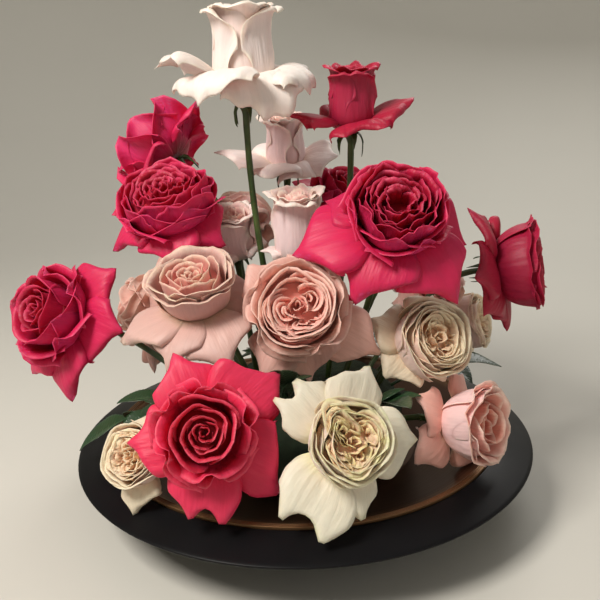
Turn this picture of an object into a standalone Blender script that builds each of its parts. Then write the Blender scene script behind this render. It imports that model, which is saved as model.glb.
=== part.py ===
"""Rose arrangement in a wide-rimmed bowl.

Hot pink and blush garden roses stand on their own stems in a block of flower
foam, which fills the middle of a shallow bronze dish. The dish lies in a low
black bowl whose wide rim flares far out past its narrow foot.

Units are metres, +Z is up, and the origin is the centre of the bowl's foot.
Every bloom has a frame of its own: its axis points out of the open face,
azimuth 0 is the right-hand side of that face and azimuth 90 is its upper side.
"""

import math
from dataclasses import dataclass

import bpy
import numpy as np
from mathutils import Matrix, Vector

for old_object in list(bpy.data.objects):
    bpy.data.objects.remove(old_object, do_unlink=True)

MM = 0.001
SEAT_GAP = 0.3 * MM

# Bowl and dish
RIM_RADIUS = 0.200
RIM_HEIGHT = 0.050
FOOT_RADIUS = 0.075
BOWL_WALL = 3 * MM
DISH_RADIUS = 0.1705
DISH_LIP_HEIGHT = 0.0605
DISH_LIP_WIDTH = 5.5 * MM
DISH_FLOOR_RADIUS = 0.100
DISH_FLOOR_HEIGHT = 0.0400
DISH_WALL = 3 * MM
LEDGE_WIDTH = 10 * MM
LEDGE_FALL = 4 * MM
FOOT_HEIGHT = 4 * MM
FOOT_FLARE = 18 * MM
EDGE_ROUND = 1 * MM
BOWL_SIDES = 36

# Flower foam
FOAM_RADIUS = 0.088
FOAM_SHOULDER = 0.020
FOAM_TOP = 0.100
FOAM_SIDES = 16

# Blooms. An outer petal grows from PETAL_ROOT, a share of the cup's radius and
# height, arches over PETAL_ARCH, shares of its reach with heights in
# millimetres, and ends at its tip. TIP_LIFT is how much of a raised tip's
# height the arch takes on.
PETAL_THICKNESS = 0.9 * MM
PETAL_ROOT = (0.42, 0.15)
PETAL_ARCH = ((0.50, 10), (0.80, 11))
TIP_LIFT = 0.4
PETAL_ROOT_WIDTH = 0.30
PETAL_FULL_WIDTH_AT = 0.6
LOBES = 5
SWIRL = 9.0
SEAT_RADIUS = 5.5 * MM

# Stems and leaves
STEM_RADIUS = 2.6 * MM
STEM_SIDES = 5
STEM_RINGS = 3
STEM_TOP_DROP = 9 * MM
SEPAL_REACH = 12 * MM
SEPAL_DROP = 13 * MM
NOTCH_DROP = 3 * MM
CALYX_INSET = 0.6 * MM
NECK_LENGTH = 0.030
STEM_PULL = 0.4
ROOT_HEIGHT = 0.074
ROOT_RUN = 0.046
ROOT_RING_OUTER = 0.066
ROOT_RING_INNER = 0.016
ROOT_RING_HEIGHT = 0.100
ROOT_RING_TAPER = 0.22
SPRIG_RADIUS = 1.5 * MM
SPRIG_SIDES = 4
SPRIG_RINGS = 4
SPRIG_STRAIGHT = 0.4
LEAFLET_CELLS = 3
LEAFLET_WIDTH = 0.32
LEAFLET_SAG = 0.22
LEAFLET_FOLD = 0.3
LEAFLET_TOOTH = 0.1
SIDE_LEAFLET_TURN = 62
SIDE_LEAFLET_SIZE = 0.85
LEAFLET_OVERLAP = 3 * MM
LEAF_THICKNESS = 0.9 * MM

HOT_PINK = (0.62, 0.012, 0.085)
BLUSH = (0.80, 0.47, 0.43)
CREAM = (0.82, 0.70, 0.52)
STEM_GREEN = (0.045, 0.085, 0.025)
LEAF_GREEN = (0.018, 0.045, 0.020)
FOAM_GREEN = (0.03, 0.06, 0.03)
BRONZE = (0.16, 0.075, 0.032)
BLACK = (0.012, 0.012, 0.013)


@dataclass
class Petal:
    """One petal, in the frame of its bloom.

    curve holds four control points (radius, height) of its centre line. hug is
    how far its margins turn round the axis, in radians, and is below zero where
    they bend back. shoulder is how far up the petal its side margins reach.
    """

    azimuth: float
    curve: tuple
    half_width: float
    hug: float = 0.0
    shoulder: float = 0.6
    squareness: float = 1.8
    twist: float = 0.0
    cells: tuple = (2, 2)


@dataclass
class Bloom:
    """One rose: where its base sits, how it turns, its sizes and its outer petals.

    place is in millimetres, and so is shift, which moves the foot of the stem
    sideways from where its rule puts it. Each outer petal is (azimuth, reach,
    height, half width), in degrees and millimetres, where height is that of
    its tip along the axis above the base. arch is how much higher than usual
    the outer petals rise before they bend back.
    """

    name: str
    place: tuple
    heading: float
    lift: float
    style: str
    cup_radius: float
    cup_height: float
    skirt: tuple
    colour: tuple = BLUSH
    shift: tuple = (0.0, 0.0)
    arch: float = 0.0


BLOOMS = [
    Bloom("rose_pink_front_left", (-68, -146, 122), 5, 25, "spiral", 31, 43,
          ((183, 49, 6, 25), (110, 54, 2, 27), (42, 60, 2, 31), (332, 60, 2, 29), (262, 54, 4, 27)),
          HOT_PINK),
    Bloom("rose_cream_front", (25, -148, 112), 14, 28, "quartered", 28, 40,
          ((128, 50, 0, 25), (66, 54, 0, 25), (350, 50, 2, 26), (268, 48, 8, 20), (232, 60, 8, 29)),
          CREAM),
    Bloom("rose_blush_centre", (-2, -69, 184), 0, 25, "quartered", 35, 42,
          ((128, 46, 10, 27), (50, 46, 10, 27), (238, 55, -2, 24), (284, 52, -2, 25), (330, 66, -8, 24))),
    Bloom("rose_blush_left", (-79, -59, 184), -10, 66, "quartered", 31, 44,
          ((216, 60, -6, 29), (256, 56, -8, 26), (304, 60, -10, 30), (24, 46, 6, 27), (140, 38, 2, 24))),
    Bloom("rose_cream_right", (93, -57, 148), 25, 30, "quartered", 30, 40,
          ((212, 40, 4, 22), (282, 31, 14, 18), (326, 31, 14, 18), (60, 42, 4, 24), (140, 42, 4, 24)),
          CREAM),
    Bloom("rose_blush_right", (111, -78, 91), 49, 12, "spiral", 28, 48,
          ((140, 37, -4, 22), (200, 44, -2, 22), (300, 38, 14, 24), (34, 42, 0, 22))),
    Bloom("rose_cream_small", (-118, -114, 88), -25, 30, "quartered", 23, 32,
          ((280, 38, 6, 19), (100, 32, 4, 19), (170, 36, 2, 18), (20, 34, 0, 18)),
          CREAM),
    Bloom("rose_pink_far_left", (-194, -16, 169), -40, 25, "spiral", 35, 46,
          ((50, 56, 0, 28), (352, 60, -4, 29), (292, 64, -8, 27), (236, 64, -6, 27), (150, 46, 4, 26)),
          HOT_PINK, shift=(4, -22)),
    Bloom("rose_pink_upper_left", (-104, -4, 248), -15, 62, "ruffled", 38, 40,
          ((218, 50, -12, 26), (282, 52, -14, 28), (338, 50, -10, 26), (60, 42, 0, 26), (150, 42, -6, 26)),
          HOT_PINK),
    Bloom("rose_pink_back_left", (-106, 60, 290), -114, 35, "bell", 33, 50,
          ((150, 44, 4, 26), (88, 50, 8, 26), (298, 56, 10, 26), (350, 46, 0, 25), (222, 50, 6, 25)),
          HOT_PINK, shift=(-17, 42)),
    Bloom("rose_pink_upper_right", (71, -68, 248), 5, 42, "ruffled", 37, 44,
          ((188, 70, -10, 30), (146, 50, -2, 24), (247, 60, -12, 28), (302, 66, -16, 29), (346, 54, -8, 27),
           (60, 48, 2, 28)),
          HOT_PINK),
    Bloom("rose_pink_far_right", (163, -4, 196), 72, 10, "spiral", 36, 46,
          ((110, 56, -8, 25), (165, 58, -6, 26), (215, 52, -4, 25), (268, 52, 8, 28), (30, 50, 2, 26)),
          HOT_PINK, shift=(0, -22)),
    Bloom("rose_pink_top", (46, 0, 314), 0, 84, "bud", 21, 51,
          ((186, 47, 10, 26), (282, 36, 2, 27), (350, 46, 18, 25), (90, 46, 12, 26)),
          HOT_PINK),
    Bloom("rose_blush_top", (-38, -8, 340), 0, 86, "bud", 26, 68,
          ((184, 66, 30, 27), (228, 58, 6, 26), (296, 50, -10, 28), (348, 56, 8, 27), (80, 52, 16, 29)),
          BLUSH, arch=20),
    Bloom("rose_blush_back", (-9, 96, 274), 0, 78, "bud", 21, 54,
          ((184, 64, 24, 28), (246, 42, 6, 24), (306, 40, 2, 24), (354, 48, 20, 27), (90, 48, 12, 28))),
    Bloom("rose_blush_bud_centre", (-1, -16, 210), 0, 84, "bud", 22, 60,
          ((300, 30, 10, 18), (60, 28, 12, 18), (180, 28, 12, 18))),
    Bloom("rose_blush_bud_left", (-54, 22, 209), -10, 72, "bud", 21, 44,
          ((350, 26, 14, 17), (58, 30, 12, 17), (240, 30, 12, 20))),
    Bloom("rose_pink_back_right", (40, 112, 236), 40, 55, "spiral", 28, 40,
          ((120, 46, 0, 25), (200, 46, 0, 25), (280, 42, 0, 25), (20, 44, 0, 25)),
          HOT_PINK),
    Bloom("rose_peach_right_inner", (120, 58, 160), 25, 35, "spiral", 24, 38,
          ((90, 38, 0, 20), (180, 36, 0, 20), (270, 34, 2, 20), (0, 38, 0, 20))),
    Bloom("rose_cream_far_right", (150, 82, 118), 62, 18, "quartered", 26, 38,
          ((110, 40, 0, 22), (190, 40, 0, 23), (270, 42, 2, 24), (20, 42, 0, 23)),
          CREAM),
    Bloom("rose_peach_left_inner", (-135, 63, 148), -84, 10, "spiral", 29, 42,
          ((92, 60, -4, 26), (30, 50, -2, 26), (322, 60, -2, 27), (262, 60, 4, 27), (170, 50, 0, 26))),
    Bloom("rose_blush_back_high", (-56, 94, 214), 178, 48, "quartered", 28, 40,
          ((100, 42, 0, 25), (180, 38, 0, 24), (260, 44, 0, 25), (20, 42, 0, 25))),
    Bloom("rose_pink_back_low", (4, 138, 128), 182, 24, "spiral", 31, 44,
          ((80, 52, 0, 28), (355, 52, 0, 28), (268, 50, 4, 28), (178, 52, 0, 28)),
          HOT_PINK),
    Bloom("rose_cream_back_left", (-92, 110, 112), -146, 22, "quartered", 28, 40,
          ((90, 46, 0, 25), (0, 46, 0, 25), (270, 42, 6, 25), (180, 46, 0, 25)),
          CREAM),
    Bloom("rose_blush_back_right", (96, 118, 176), 142, 34, "spiral", 29, 42,
          ((90, 48, 0, 27), (5, 48, 0, 27), (275, 48, 0, 27), (185, 48, 0, 27))),
]


@dataclass
class Sprig:
    """A leafy shoot: where it ends in the foam, where its tip is, and its leaflets' length.

    Places and lengths are in millimetres. droop is how far its tip hangs below
    the straight line.
    """

    name: str
    root: tuple
    tip: tuple
    leaflet: float
    droop: float


SPRIGS = [
    Sprig("leaf_sprig_left", (-56, -36, 80), (-150, -54, 116), 46, 26),
    Sprig("leaf_sprig_front_left", (-34, -62, 84), (-112, -84, 130), 34, 8),
    Sprig("leaf_sprig_front", (-12, -66, 86), (-14, -108, 140), 34, 0),
    Sprig("leaf_sprig_front_right", (44, -52, 84), (64, -100, 122), 36, 4),
    Sprig("leaf_sprig_right", (64, 4, 80), (142, 12, 120), 44, 14),
    Sprig("leaf_sprig_back_right", (40, 56, 80), (62, 140, 104), 44, 14),
    Sprig("leaf_sprig_back_left", (-30, 50, 82), (-48, 128, 88), 30, 6),
]


def material(name, colour, roughness, metallic=0.0):
    """A Principled material of one colour."""
    made = bpy.data.materials.new(name)
    made.use_nodes = True
    shader = made.node_tree.nodes["Principled BSDF"]
    shader.inputs["Base Color"].default_value = (*colour, 1.0)
    shader.inputs["Roughness"].default_value = roughness
    shader.inputs["Metallic"].default_value = metallic
    made.diffuse_color = (*colour, 1.0)
    return made


def add_mesh(name, points, faces, finish):
    """An object from points and faces, shaded smooth up to its sharp edges."""
    mesh = bpy.data.meshes.new(name)
    mesh.from_pydata([tuple(map(float, point)) for point in points], [], faces)
    mesh.shade_smooth()
    mesh.set_sharp_from_angle(angle=math.radians(40))
    mesh.materials.append(finish)
    made = bpy.data.objects.new(name, mesh)
    bpy.context.scene.collection.objects.link(made)
    return made


def turned_faces(sides, rings):
    """Triangles of a turned solid whose points run pole, ring after ring, pole."""
    top = 1 + rings * sides
    last = top - sides
    faces = []
    for side in range(sides):
        after = (side + 1) % sides
        faces.append((0, 1 + after, 1 + side))
        for ring in range(rings - 1):
            low = 1 + ring * sides
            high = low + sides
            faces.append((low + side, low + after, high + after))
            faces.append((low + side, high + after, high + side))
        faces.append((last + side, last + after, top))
    return faces


def turned(name, profile, sides, finish):
    """A solid turned about +Z. profile runs up its outside, from axis to axis."""
    rings = profile[1:-1]
    points = [(0, 0, profile[0][1])]
    for radius, height in rings:
        for side in range(sides):
            angle = 2 * math.pi * side / sides
            points.append((radius * math.cos(angle), radius * math.sin(angle), height))
    points.append((0, 0, profile[-1][1]))
    return add_mesh(name, points, turned_faces(sides, len(rings)), finish)


def join(body, pieces):
    """One solid from the body and every piece that grows out of it."""
    if not pieces:
        return body
    group = bpy.data.collections.new(body.name + "_pieces")
    bpy.context.scene.collection.children.link(group)
    for piece in pieces:
        bpy.context.scene.collection.objects.unlink(piece)
        group.objects.link(piece)
    union = body.modifiers.new("Join", "BOOLEAN")
    union.operation = "UNION"
    union.operand_type = "COLLECTION"
    union.collection = group
    union.solver = "EXACT"
    bpy.context.view_layer.update()
    graph = bpy.context.evaluated_depsgraph_get()
    joined = bpy.data.meshes.new_from_object(body.evaluated_get(graph))
    body.modifiers.clear()
    body.data = joined
    for piece in pieces:
        bpy.data.objects.remove(piece, do_unlink=True)
    bpy.data.collections.remove(group)
    return body


def solid_sheet(name, grid, thickness, finish):
    """A closed blade of even thickness round a grid of points, split alike on both faces."""
    across, along = grid.shape[0] - 1, grid.shape[1] - 1
    along_step = np.gradient(grid, axis=1)
    across_step = np.gradient(grid, axis=0)
    normal = np.cross(across_step, along_step)
    normal /= np.maximum(np.linalg.norm(normal, axis=2, keepdims=True), 1e-12)
    points = np.concatenate([
        (grid + normal * thickness / 2).reshape(-1, 3),
        (grid - normal * thickness / 2).reshape(-1, 3),
    ])
    back = (across + 1) * (along + 1)

    def index(i, j):
        return i * (along + 1) + j

    faces = []
    for i in range(across):
        for j in range(along):
            a, b, c, d = index(i, j), index(i + 1, j), index(i + 1, j + 1), index(i, j + 1)
            split = ((a, b, c), (a, c, d)) if 2 * i >= across else ((a, b, d), (b, c, d))
            for one, two, three in split:
                faces.append((one, two, three))
                faces.append((back + one, back + three, back + two))
    edge = [index(i, 0) for i in range(across)]
    edge += [index(across, j) for j in range(along)]
    edge += [index(i, along) for i in range(across, 0, -1)]
    edge += [index(0, j) for j in range(along, 0, -1)]
    for one, two in zip(edge, edge[1:] + edge[:1]):
        faces.append((two, one, back + one))
        faces.append((two, back + one, back + two))
    return add_mesh(name, points, faces, finish)


def cubic(points, t):
    """Place and unit direction of a cubic curve in the plane, at each t."""
    p0, p1, p2, p3 = (np.array(point, float) for point in points)
    t = t[..., None]
    s = 1 - t
    place = s**3 * p0 + 3 * s**2 * t * p1 + 3 * s * t**2 * p2 + t**3 * p3
    slope = 3 * s**2 * (p1 - p0) + 6 * s * t * (p2 - p1) + 3 * t**2 * (p3 - p2)
    return place, slope / np.linalg.norm(slope, axis=-1, keepdims=True)


def petal_grid(petal):
    """Points of a petal's middle surface: rows run from one side margin to the other."""
    across, along = petal.cells
    u = np.linspace(-1, 1, across + 1)[:, None]
    v = np.linspace(0, 1, along + 1)[None, :]
    t = v * (1 - (1 - petal.shoulder) * np.abs(u) ** petal.squareness)
    place, slope = cubic(petal.curve, t)
    opening = np.sin(math.pi / 2 * np.minimum(1, t / PETAL_FULL_WIDTH_AT))
    width = petal.half_width * (PETAL_ROOT_WIDTH + (1 - PETAL_ROOT_WIDTH) * opening)
    turn = petal.hug * width / petal.half_width
    turn = np.where(np.abs(turn) < 1e-3, 1e-3, turn)
    side = width * np.sin(turn * u) / turn
    inward = width * (1 - np.cos(turn * u)) / turn
    twist = math.radians(petal.twist)
    sideways = side * math.cos(twist) - inward * math.sin(twist)
    inward = side * math.sin(twist) + inward * math.cos(twist)
    radius = place[..., 0] - slope[..., 1] * inward
    height = place[..., 1] + slope[..., 0] * inward
    angle = math.radians(petal.azimuth)
    x = radius * math.cos(angle) - sideways * math.sin(angle)
    y = radius * math.sin(angle) + sideways * math.cos(angle)
    return np.stack([x, y, height], axis=-1)


def outer_petal(bloom, azimuth, reach, height, half_width):
    """A reflexed outer petal: out from the base, then bending back to its pointed tip."""
    rise = max(height, 0) * TIP_LIFT + bloom.arch
    root = (bloom.cup_radius * PETAL_ROOT[0] * MM, bloom.cup_height * PETAL_ROOT[1] * MM)
    arch = [(reach * share * MM, (level + rise) * MM) for share, level in PETAL_ARCH]
    curve = (root, *arch, (reach * MM, height * MM))
    return Petal(azimuth, curve, half_width * MM, hug=-0.35, shoulder=0.66, squareness=1.5,
                 twist=9, cells=(2, 2))


def head_rings(style):
    """Rings of the head, from the calyx up over each layer of petals to the heart.

    Each is (radius, height, lobe). Radius is a share of the cup's radius and
    height of its height. lobe is the swing between a petal's tip and the notch
    beside it, and its sign says which rings' tips stand over which notches.
    """
    if style == "bud":
        return ((0.74, 0.20, 0), (0.82, 0.52, 0), (1.12, 0.97, 0.12), (0.66, 0.74, 0),
                (0.58, 0.97, -0.10), (0.26, 0.70, 0), (0.20, 0.90, 0.08)), 0.78
    if style == "bell":
        return ((0.70, 0.20, 0), (0.92, 0.50, 0), (1.22, 0.90, 0.14), (0.76, 0.56, 0),
                (0.66, 0.80, -0.12), (0.36, 0.52, 0), (0.26, 0.74, 0.08)), 0.60
    if style == "spiral":
        return ((0.80, 0.20, 0), (0.98, 0.50, 0), (1.10, 0.84, 0.12), (0.80, 0.60, 0),
                (0.72, 0.93, -0.10), (0.46, 0.66, 0), (0.36, 0.98, 0.08)), 0.80
    return ((0.84, 0.20, 0), (1.00, 0.52, 0), (1.03, 0.84, 0.10), (0.84, 0.64, 0),
            (0.74, 0.90, -0.10), (0.48, 0.62, 0), (0.38, 0.88, 0.10)), 0.60


def add_head(bloom, finish):
    """The closed head of a bloom, whose layers of petals rise as lobed rims."""
    radius, height = bloom.cup_radius * MM, bloom.cup_height * MM
    rings, heart = head_rings(bloom.style)
    sides = 2 * LOBES
    points = [(0, 0, 0)]
    for side in range(sides):
        angle = 2 * math.pi * side / sides
        points.append((SEAT_RADIUS * math.cos(angle), SEAT_RADIUS * math.sin(angle), 0))
    for number, (across, up, lobe) in enumerate(rings):
        swirl = math.radians(SWIRL * number)
        for side in range(sides):
            swing = lobe * (1 if side % 2 == 0 else -1)
            angle = 2 * math.pi * side / sides + swirl
            ring_radius = radius * across * (1 + 0.6 * swing)
            level = height * (up + swing)
            points.append((ring_radius * math.cos(angle), ring_radius * math.sin(angle), level))
    points.append((0, 0, height * heart))
    return add_mesh(bloom.name, points, turned_faces(sides, len(rings) + 1), finish)


def frame_of(bloom):
    """Matrix that stands a bloom's own frame in the arrangement."""
    heading, lift = math.radians(bloom.heading), math.radians(bloom.lift)
    axis = Vector((
        math.sin(heading) * math.cos(lift),
        -math.cos(heading) * math.cos(lift),
        math.sin(lift),
    ))
    right = Vector((math.cos(heading), math.sin(heading), 0))
    up = axis.cross(right)
    turn = Matrix((right, up, axis)).transposed().to_4x4()
    return Matrix.Translation(Vector(bloom.place) * MM) @ turn


def add_bloom(bloom, finish):
    """One rose: its head and the outer petals that grow from under it, in one solid."""
    body = add_head(bloom, finish)
    pieces = []
    for azimuth, reach, height, half_width in bloom.skirt:
        petal = outer_petal(bloom, azimuth, reach, height, half_width)
        pieces.append(solid_sheet("petal", petal_grid(petal), PETAL_THICKNESS, finish))
    join(body, pieces)
    body.matrix_world = frame_of(bloom)
    return body


def stem_root(bloom):
    """End of the stem inside the foam: tall stems stand near the middle, low ones near the edge."""
    x, y, z = (value * MM for value in bloom.place)
    out = math.hypot(x, y)
    wanted = ROOT_RING_OUTER - (z - ROOT_RING_HEIGHT) * ROOT_RING_TAPER
    wanted = min(max(wanted, ROOT_RING_INNER), ROOT_RING_OUTER)
    share = min(wanted, out * 0.9) / out
    return Vector((x * share + bloom.shift[0] * MM, y * share + bloom.shift[1] * MM, ROOT_HEIGHT))


def stem_line(bloom):
    """Points down the middle of a stem, from under the sepals to its end in the foam."""
    turn = frame_of(bloom)
    axis = turn.to_3x3() @ Vector((0, 0, 1))
    top = turn @ Vector((0, 0, -STEM_TOP_DROP - SEAT_GAP))
    root = stem_root(bloom)
    lead = (root - (top - axis * NECK_LENGTH)).normalized()
    entry = root - lead * ROOT_RUN
    pull = (entry - top).length * STEM_PULL
    handles = (top, top - axis * pull, entry - lead * pull, entry)
    line = []
    for number in range(STEM_RINGS + 1):
        t = number / STEM_RINGS
        s = 1 - t
        ends = s**3 * handles[0] + t**3 * handles[3]
        line.append(ends + 3 * s * t * (s * handles[1] + t * handles[2]))
    line.append(root)
    return line


def ring_round(centre, along, radius, sides, guide):
    """Points of a ring round a line, which start on the guide's side of it."""
    first = (guide - along * guide.dot(along)).normalized()
    second = along.cross(first)
    ring = []
    for side in range(sides):
        angle = 2 * math.pi * side / sides
        ring.append(centre + (first * math.cos(angle) + second * math.sin(angle)) * radius)
    return ring


def tube_rings(line, radius, sides, guide):
    """Rings of a tube along a line of points, each square to the line there."""
    rings = []
    for number, point in enumerate(line):
        before = line[max(number - 1, 0)]
        after = line[min(number + 1, len(line) - 1)]
        rings.append(ring_round(point, (after - before).normalized(), radius, sides, guide))
    return rings


def band(lower, upper, sides):
    """Triangles between two rings, given where each ring's points start."""
    faces = []
    for side in range(sides):
        after = (side + 1) % sides
        faces.append((lower + side, lower + after, upper + after))
        faces.append((lower + side, upper + after, upper + side))
    return faces


def add_tube(name, line, radius, sides, finish, guide):
    """A closed tube with flat ends."""
    rings = tube_rings(line, radius, sides, guide)
    points = [point for ring in rings for point in ring]
    faces = [tuple(range(sides))[::-1]]
    for number in range(len(rings) - 1):
        faces += band(number * sides, (number + 1) * sides, sides)
    faces.append(tuple(range(len(points) - sides, len(points))))
    return add_mesh(name, points, faces, finish)


def add_stem(bloom, finish):
    """A stem with its five sepals, which hang from under the flat seat of the bloom."""
    turn = frame_of(bloom)
    guide = turn.to_3x3() @ Vector((1, 0, 0))
    points = []
    star = 2 * STEM_SIDES
    for side in range(star):
        angle = math.pi * side / STEM_SIDES
        seat = SEAT_RADIUS - CALYX_INSET
        points.append(turn @ Vector((seat * math.cos(angle), seat * math.sin(angle), -SEAT_GAP)))
    for side in range(star):
        angle = math.pi * side / STEM_SIDES
        tip = side % 2 == 0
        out = SEPAL_REACH if tip else SEAT_RADIUS * 0.8
        down = SEPAL_DROP if tip else NOTCH_DROP
        points.append(turn @ Vector((out * math.cos(angle), out * math.sin(angle), -down)))
    rings = tube_rings(stem_line(bloom), STEM_RADIUS, STEM_SIDES, guide)
    turned_ring = [rings[0][0]] + rings[0][:0:-1]
    flip = (turned_ring[1] - points[star + 2]).length < (rings[0][1] - points[star + 2]).length
    for ring in rings:
        points += [ring[0]] + ring[:0:-1] if flip else ring
    first = 2 * star
    faces = [tuple(range(star))]
    for side in range(star):
        after = (side + 1) % star
        faces.append((side, star + side, star + after))
        faces.append((side, star + after, after))
    for side in range(STEM_SIDES):
        after = (side + 1) % STEM_SIDES
        tip, notch, next_tip = star + 2 * side, star + 2 * side + 1, star + (2 * side + 2) % star
        faces.append((tip, first + side, notch))
        faces.append((notch, first + side, first + after))
        faces.append((notch, first + after, next_tip))
    for number in range(len(rings) - 1):
        low = first + number * STEM_SIDES
        high = low + STEM_SIDES
        faces += [(one, three, two) for one, two, three in band(low, high, STEM_SIDES)]
    faces.append(tuple(range(len(points) - STEM_SIDES, len(points)))[::-1])
    return add_mesh(bloom.name.replace("rose", "stem"), points, faces, finish)


def leaflet_grid(start, direction, up, length):
    """Middle surface of a leaflet: folded along its rib, toothed, with its tip drooping."""
    along, half_width = LEAFLET_CELLS, length * LEAFLET_WIDTH
    side = direction.cross(up).normalized()
    lift = side.cross(direction).normalized()
    grid = np.zeros((3, along + 1, 3))
    for row in range(along + 1):
        t = row / along
        tooth = 1 + LEAFLET_TOOTH if row % 2 else 1 - LEAFLET_TOOTH
        width = half_width * max(math.sin(math.pi * t**0.8) * tooth, 0.06)
        rib = start + direction * length * t - lift * length * LEAFLET_SAG * t * t
        for column in range(3):
            margin = side * (column - 1) + lift * LEAFLET_FOLD * abs(column - 1)
            grid[column, row] = rib + margin * width
    return grid


def sprig_line(sprig):
    """Points along a shoot: straight out of the foam, then bending down to its tip."""
    root, tip = (Vector(place) * MM for place in (sprig.root, sprig.tip))
    line = [root]
    for number in range(SPRIG_RINGS):
        bend = number / (SPRIG_RINGS - 1)
        t = SPRIG_STRAIGHT + (1 - SPRIG_STRAIGHT) * bend
        line.append(root.lerp(tip, t) - Vector((0, 0, bend * bend * sprig.droop * MM)))
    return line


def add_sprig(sprig, finish):
    """A shoot with a leaflet at its tip and a pair of leaflets below it."""
    line = sprig_line(sprig)
    up = Vector((0, 0, 1))
    shoot = add_tube(sprig.name, line, SPRIG_RADIUS, SPRIG_SIDES, finish, up)
    length = sprig.leaflet * MM
    heading = (line[-1] - line[-2]).normalized()
    blades = [leaflet_grid(line[-1] - heading * LEAFLET_OVERLAP, heading, up, length)]
    for sense in (1, -1):
        turn = Matrix.Rotation(sense * math.radians(SIDE_LEAFLET_TURN), 3, "Z")
        aside = (turn @ heading).normalized()
        blades.append(leaflet_grid(line[-2], aside, up, length * SIDE_LEAFLET_SIZE))
    return join(shoot, [solid_sheet("leaflet", blade, LEAF_THICKNESS, finish) for blade in blades])


def add_foam(lines):
    """The domed block of foam, with one plain hole for each stem that stands in it."""
    low = DISH_FLOOR_HEIGHT + SEAT_GAP
    bevel = FOAM_SHOULDER * 0.3
    profile = [
        (0, low),
        (FOAM_RADIUS, low),
        (FOAM_RADIUS, FOAM_TOP - FOAM_SHOULDER),
        (FOAM_RADIUS - bevel, FOAM_TOP - bevel),
        (FOAM_RADIUS - FOAM_SHOULDER, FOAM_TOP),
        (0, FOAM_TOP),
    ]
    foam = turned("flower_foam", profile, FOAM_SIDES, material("flower_foam", FOAM_GREEN, 0.95))
    for number, (entry, root, radius, sides, guide) in enumerate(lines):
        lead = (root - entry).normalized()
        run = [entry, root + lead * SEAT_GAP]
        hole = add_tube("hole_%02d" % number, run, radius + SEAT_GAP / math.cos(math.pi / sides),
                        sides, foam.data.materials[0], guide)
        hole.hide_render = True
        hole.display_type = "WIRE"
        cut = foam.modifiers.new(hole.name, "BOOLEAN")
        cut.operation = "DIFFERENCE"
        cut.object = hole
    return foam


def add_bowl():
    """The black bowl: a thin well on a narrow foot, under a wide brim that slopes down to its edge."""
    seat = DISH_RADIUS + SEAT_GAP
    ledge = DISH_LIP_HEIGHT - DISH_WALL - SEAT_GAP
    brim_drop = 1.3 * MM
    profile = [
        (0, 0),
        (FOOT_RADIUS, 0),
        (FOOT_RADIUS + FOOT_FLARE, FOOT_HEIGHT),
        (seat - LEDGE_WIDTH + EDGE_ROUND, ledge - LEDGE_FALL - BOWL_WALL * 2),
        (seat + EDGE_ROUND, ledge - BOWL_WALL),
        (RIM_RADIUS - EDGE_ROUND, RIM_HEIGHT - BOWL_WALL),
        (RIM_RADIUS, RIM_HEIGHT - EDGE_ROUND),
        (seat, ledge + brim_drop),
        (seat, ledge),
        (seat - LEDGE_WIDTH, ledge - LEDGE_FALL),
        (FOOT_RADIUS + FOOT_FLARE - 2 * EDGE_ROUND, FOOT_HEIGHT + BOWL_WALL),
        (FOOT_RADIUS - 2 * EDGE_ROUND, BOWL_WALL),
        (0, BOWL_WALL),
    ]
    return turned("wide_rim_bowl", profile, BOWL_SIDES, material("black_bowl", BLACK, 0.45))


def add_dish():
    """The bronze dish that hangs by its lip in the bowl: a ringed lip round a shallow floor."""
    underside = DISH_FLOOR_HEIGHT - DISH_WALL
    lip_inside = DISH_RADIUS - DISH_LIP_WIDTH
    lip_step = 1.8 * MM
    profile = [
        (0, underside),
        (DISH_FLOOR_RADIUS + EDGE_ROUND, underside),
        (DISH_RADIUS, DISH_LIP_HEIGHT - DISH_WALL),
        (DISH_RADIUS, DISH_LIP_HEIGHT - EDGE_ROUND),
        (DISH_RADIUS - EDGE_ROUND, DISH_LIP_HEIGHT),
        (lip_inside, DISH_LIP_HEIGHT - EDGE_ROUND / 2),
        (lip_inside - EDGE_ROUND, DISH_LIP_HEIGHT - lip_step),
        (DISH_FLOOR_RADIUS, DISH_FLOOR_HEIGHT),
        (0, DISH_FLOOR_HEIGHT),
    ]
    finish = material("bronze_dish", BRONZE, 0.38, metallic=0.6)
    return turned("bronze_dish", profile, BOWL_SIDES, finish)


add_bowl()
add_dish()
stem_finish = material("stems", STEM_GREEN, 0.5)
leaf_finish = material("leaves", LEAF_GREEN, 0.35)
petal_finishes = {
    HOT_PINK: material("pink_petals", HOT_PINK, 0.55),
    BLUSH: material("blush_petals", BLUSH, 0.55),
    CREAM: material("cream_petals", CREAM, 0.55),
}
holes = []
for rose in BLOOMS:
    add_bloom(rose, petal_finishes[rose.colour])
    add_stem(rose, stem_finish)
    middle = stem_line(rose)
    side_guide = frame_of(rose).to_3x3() @ Vector((1, 0, 0))
    holes.append((middle[-2], middle[-1], STEM_RADIUS, STEM_SIDES, side_guide))
for sprig in SPRIGS:
    add_sprig(sprig, leaf_finish)
    middle = sprig_line(sprig)
    holes.append((middle[1], middle[0], SPRIG_RADIUS, SPRIG_SIDES, Vector((0, 0, 1))))
add_foam(holes)
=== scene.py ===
"""Looks of the rose arrangement: fine blooms, stems, leaves, foam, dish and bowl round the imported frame.

Places and sizes repeat those of the part's own source. A bloom's frame has its
axis out of the open face, azimuth 0 at the right-hand side of that face and
azimuth 90 at its upper side. Lengths in the tables are in millimetres.
"""

from dataclasses import dataclass
from math import cos, hypot, pi, radians, sin, tan

import bpy
import numpy as np
from mathutils import Matrix, Vector


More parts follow.
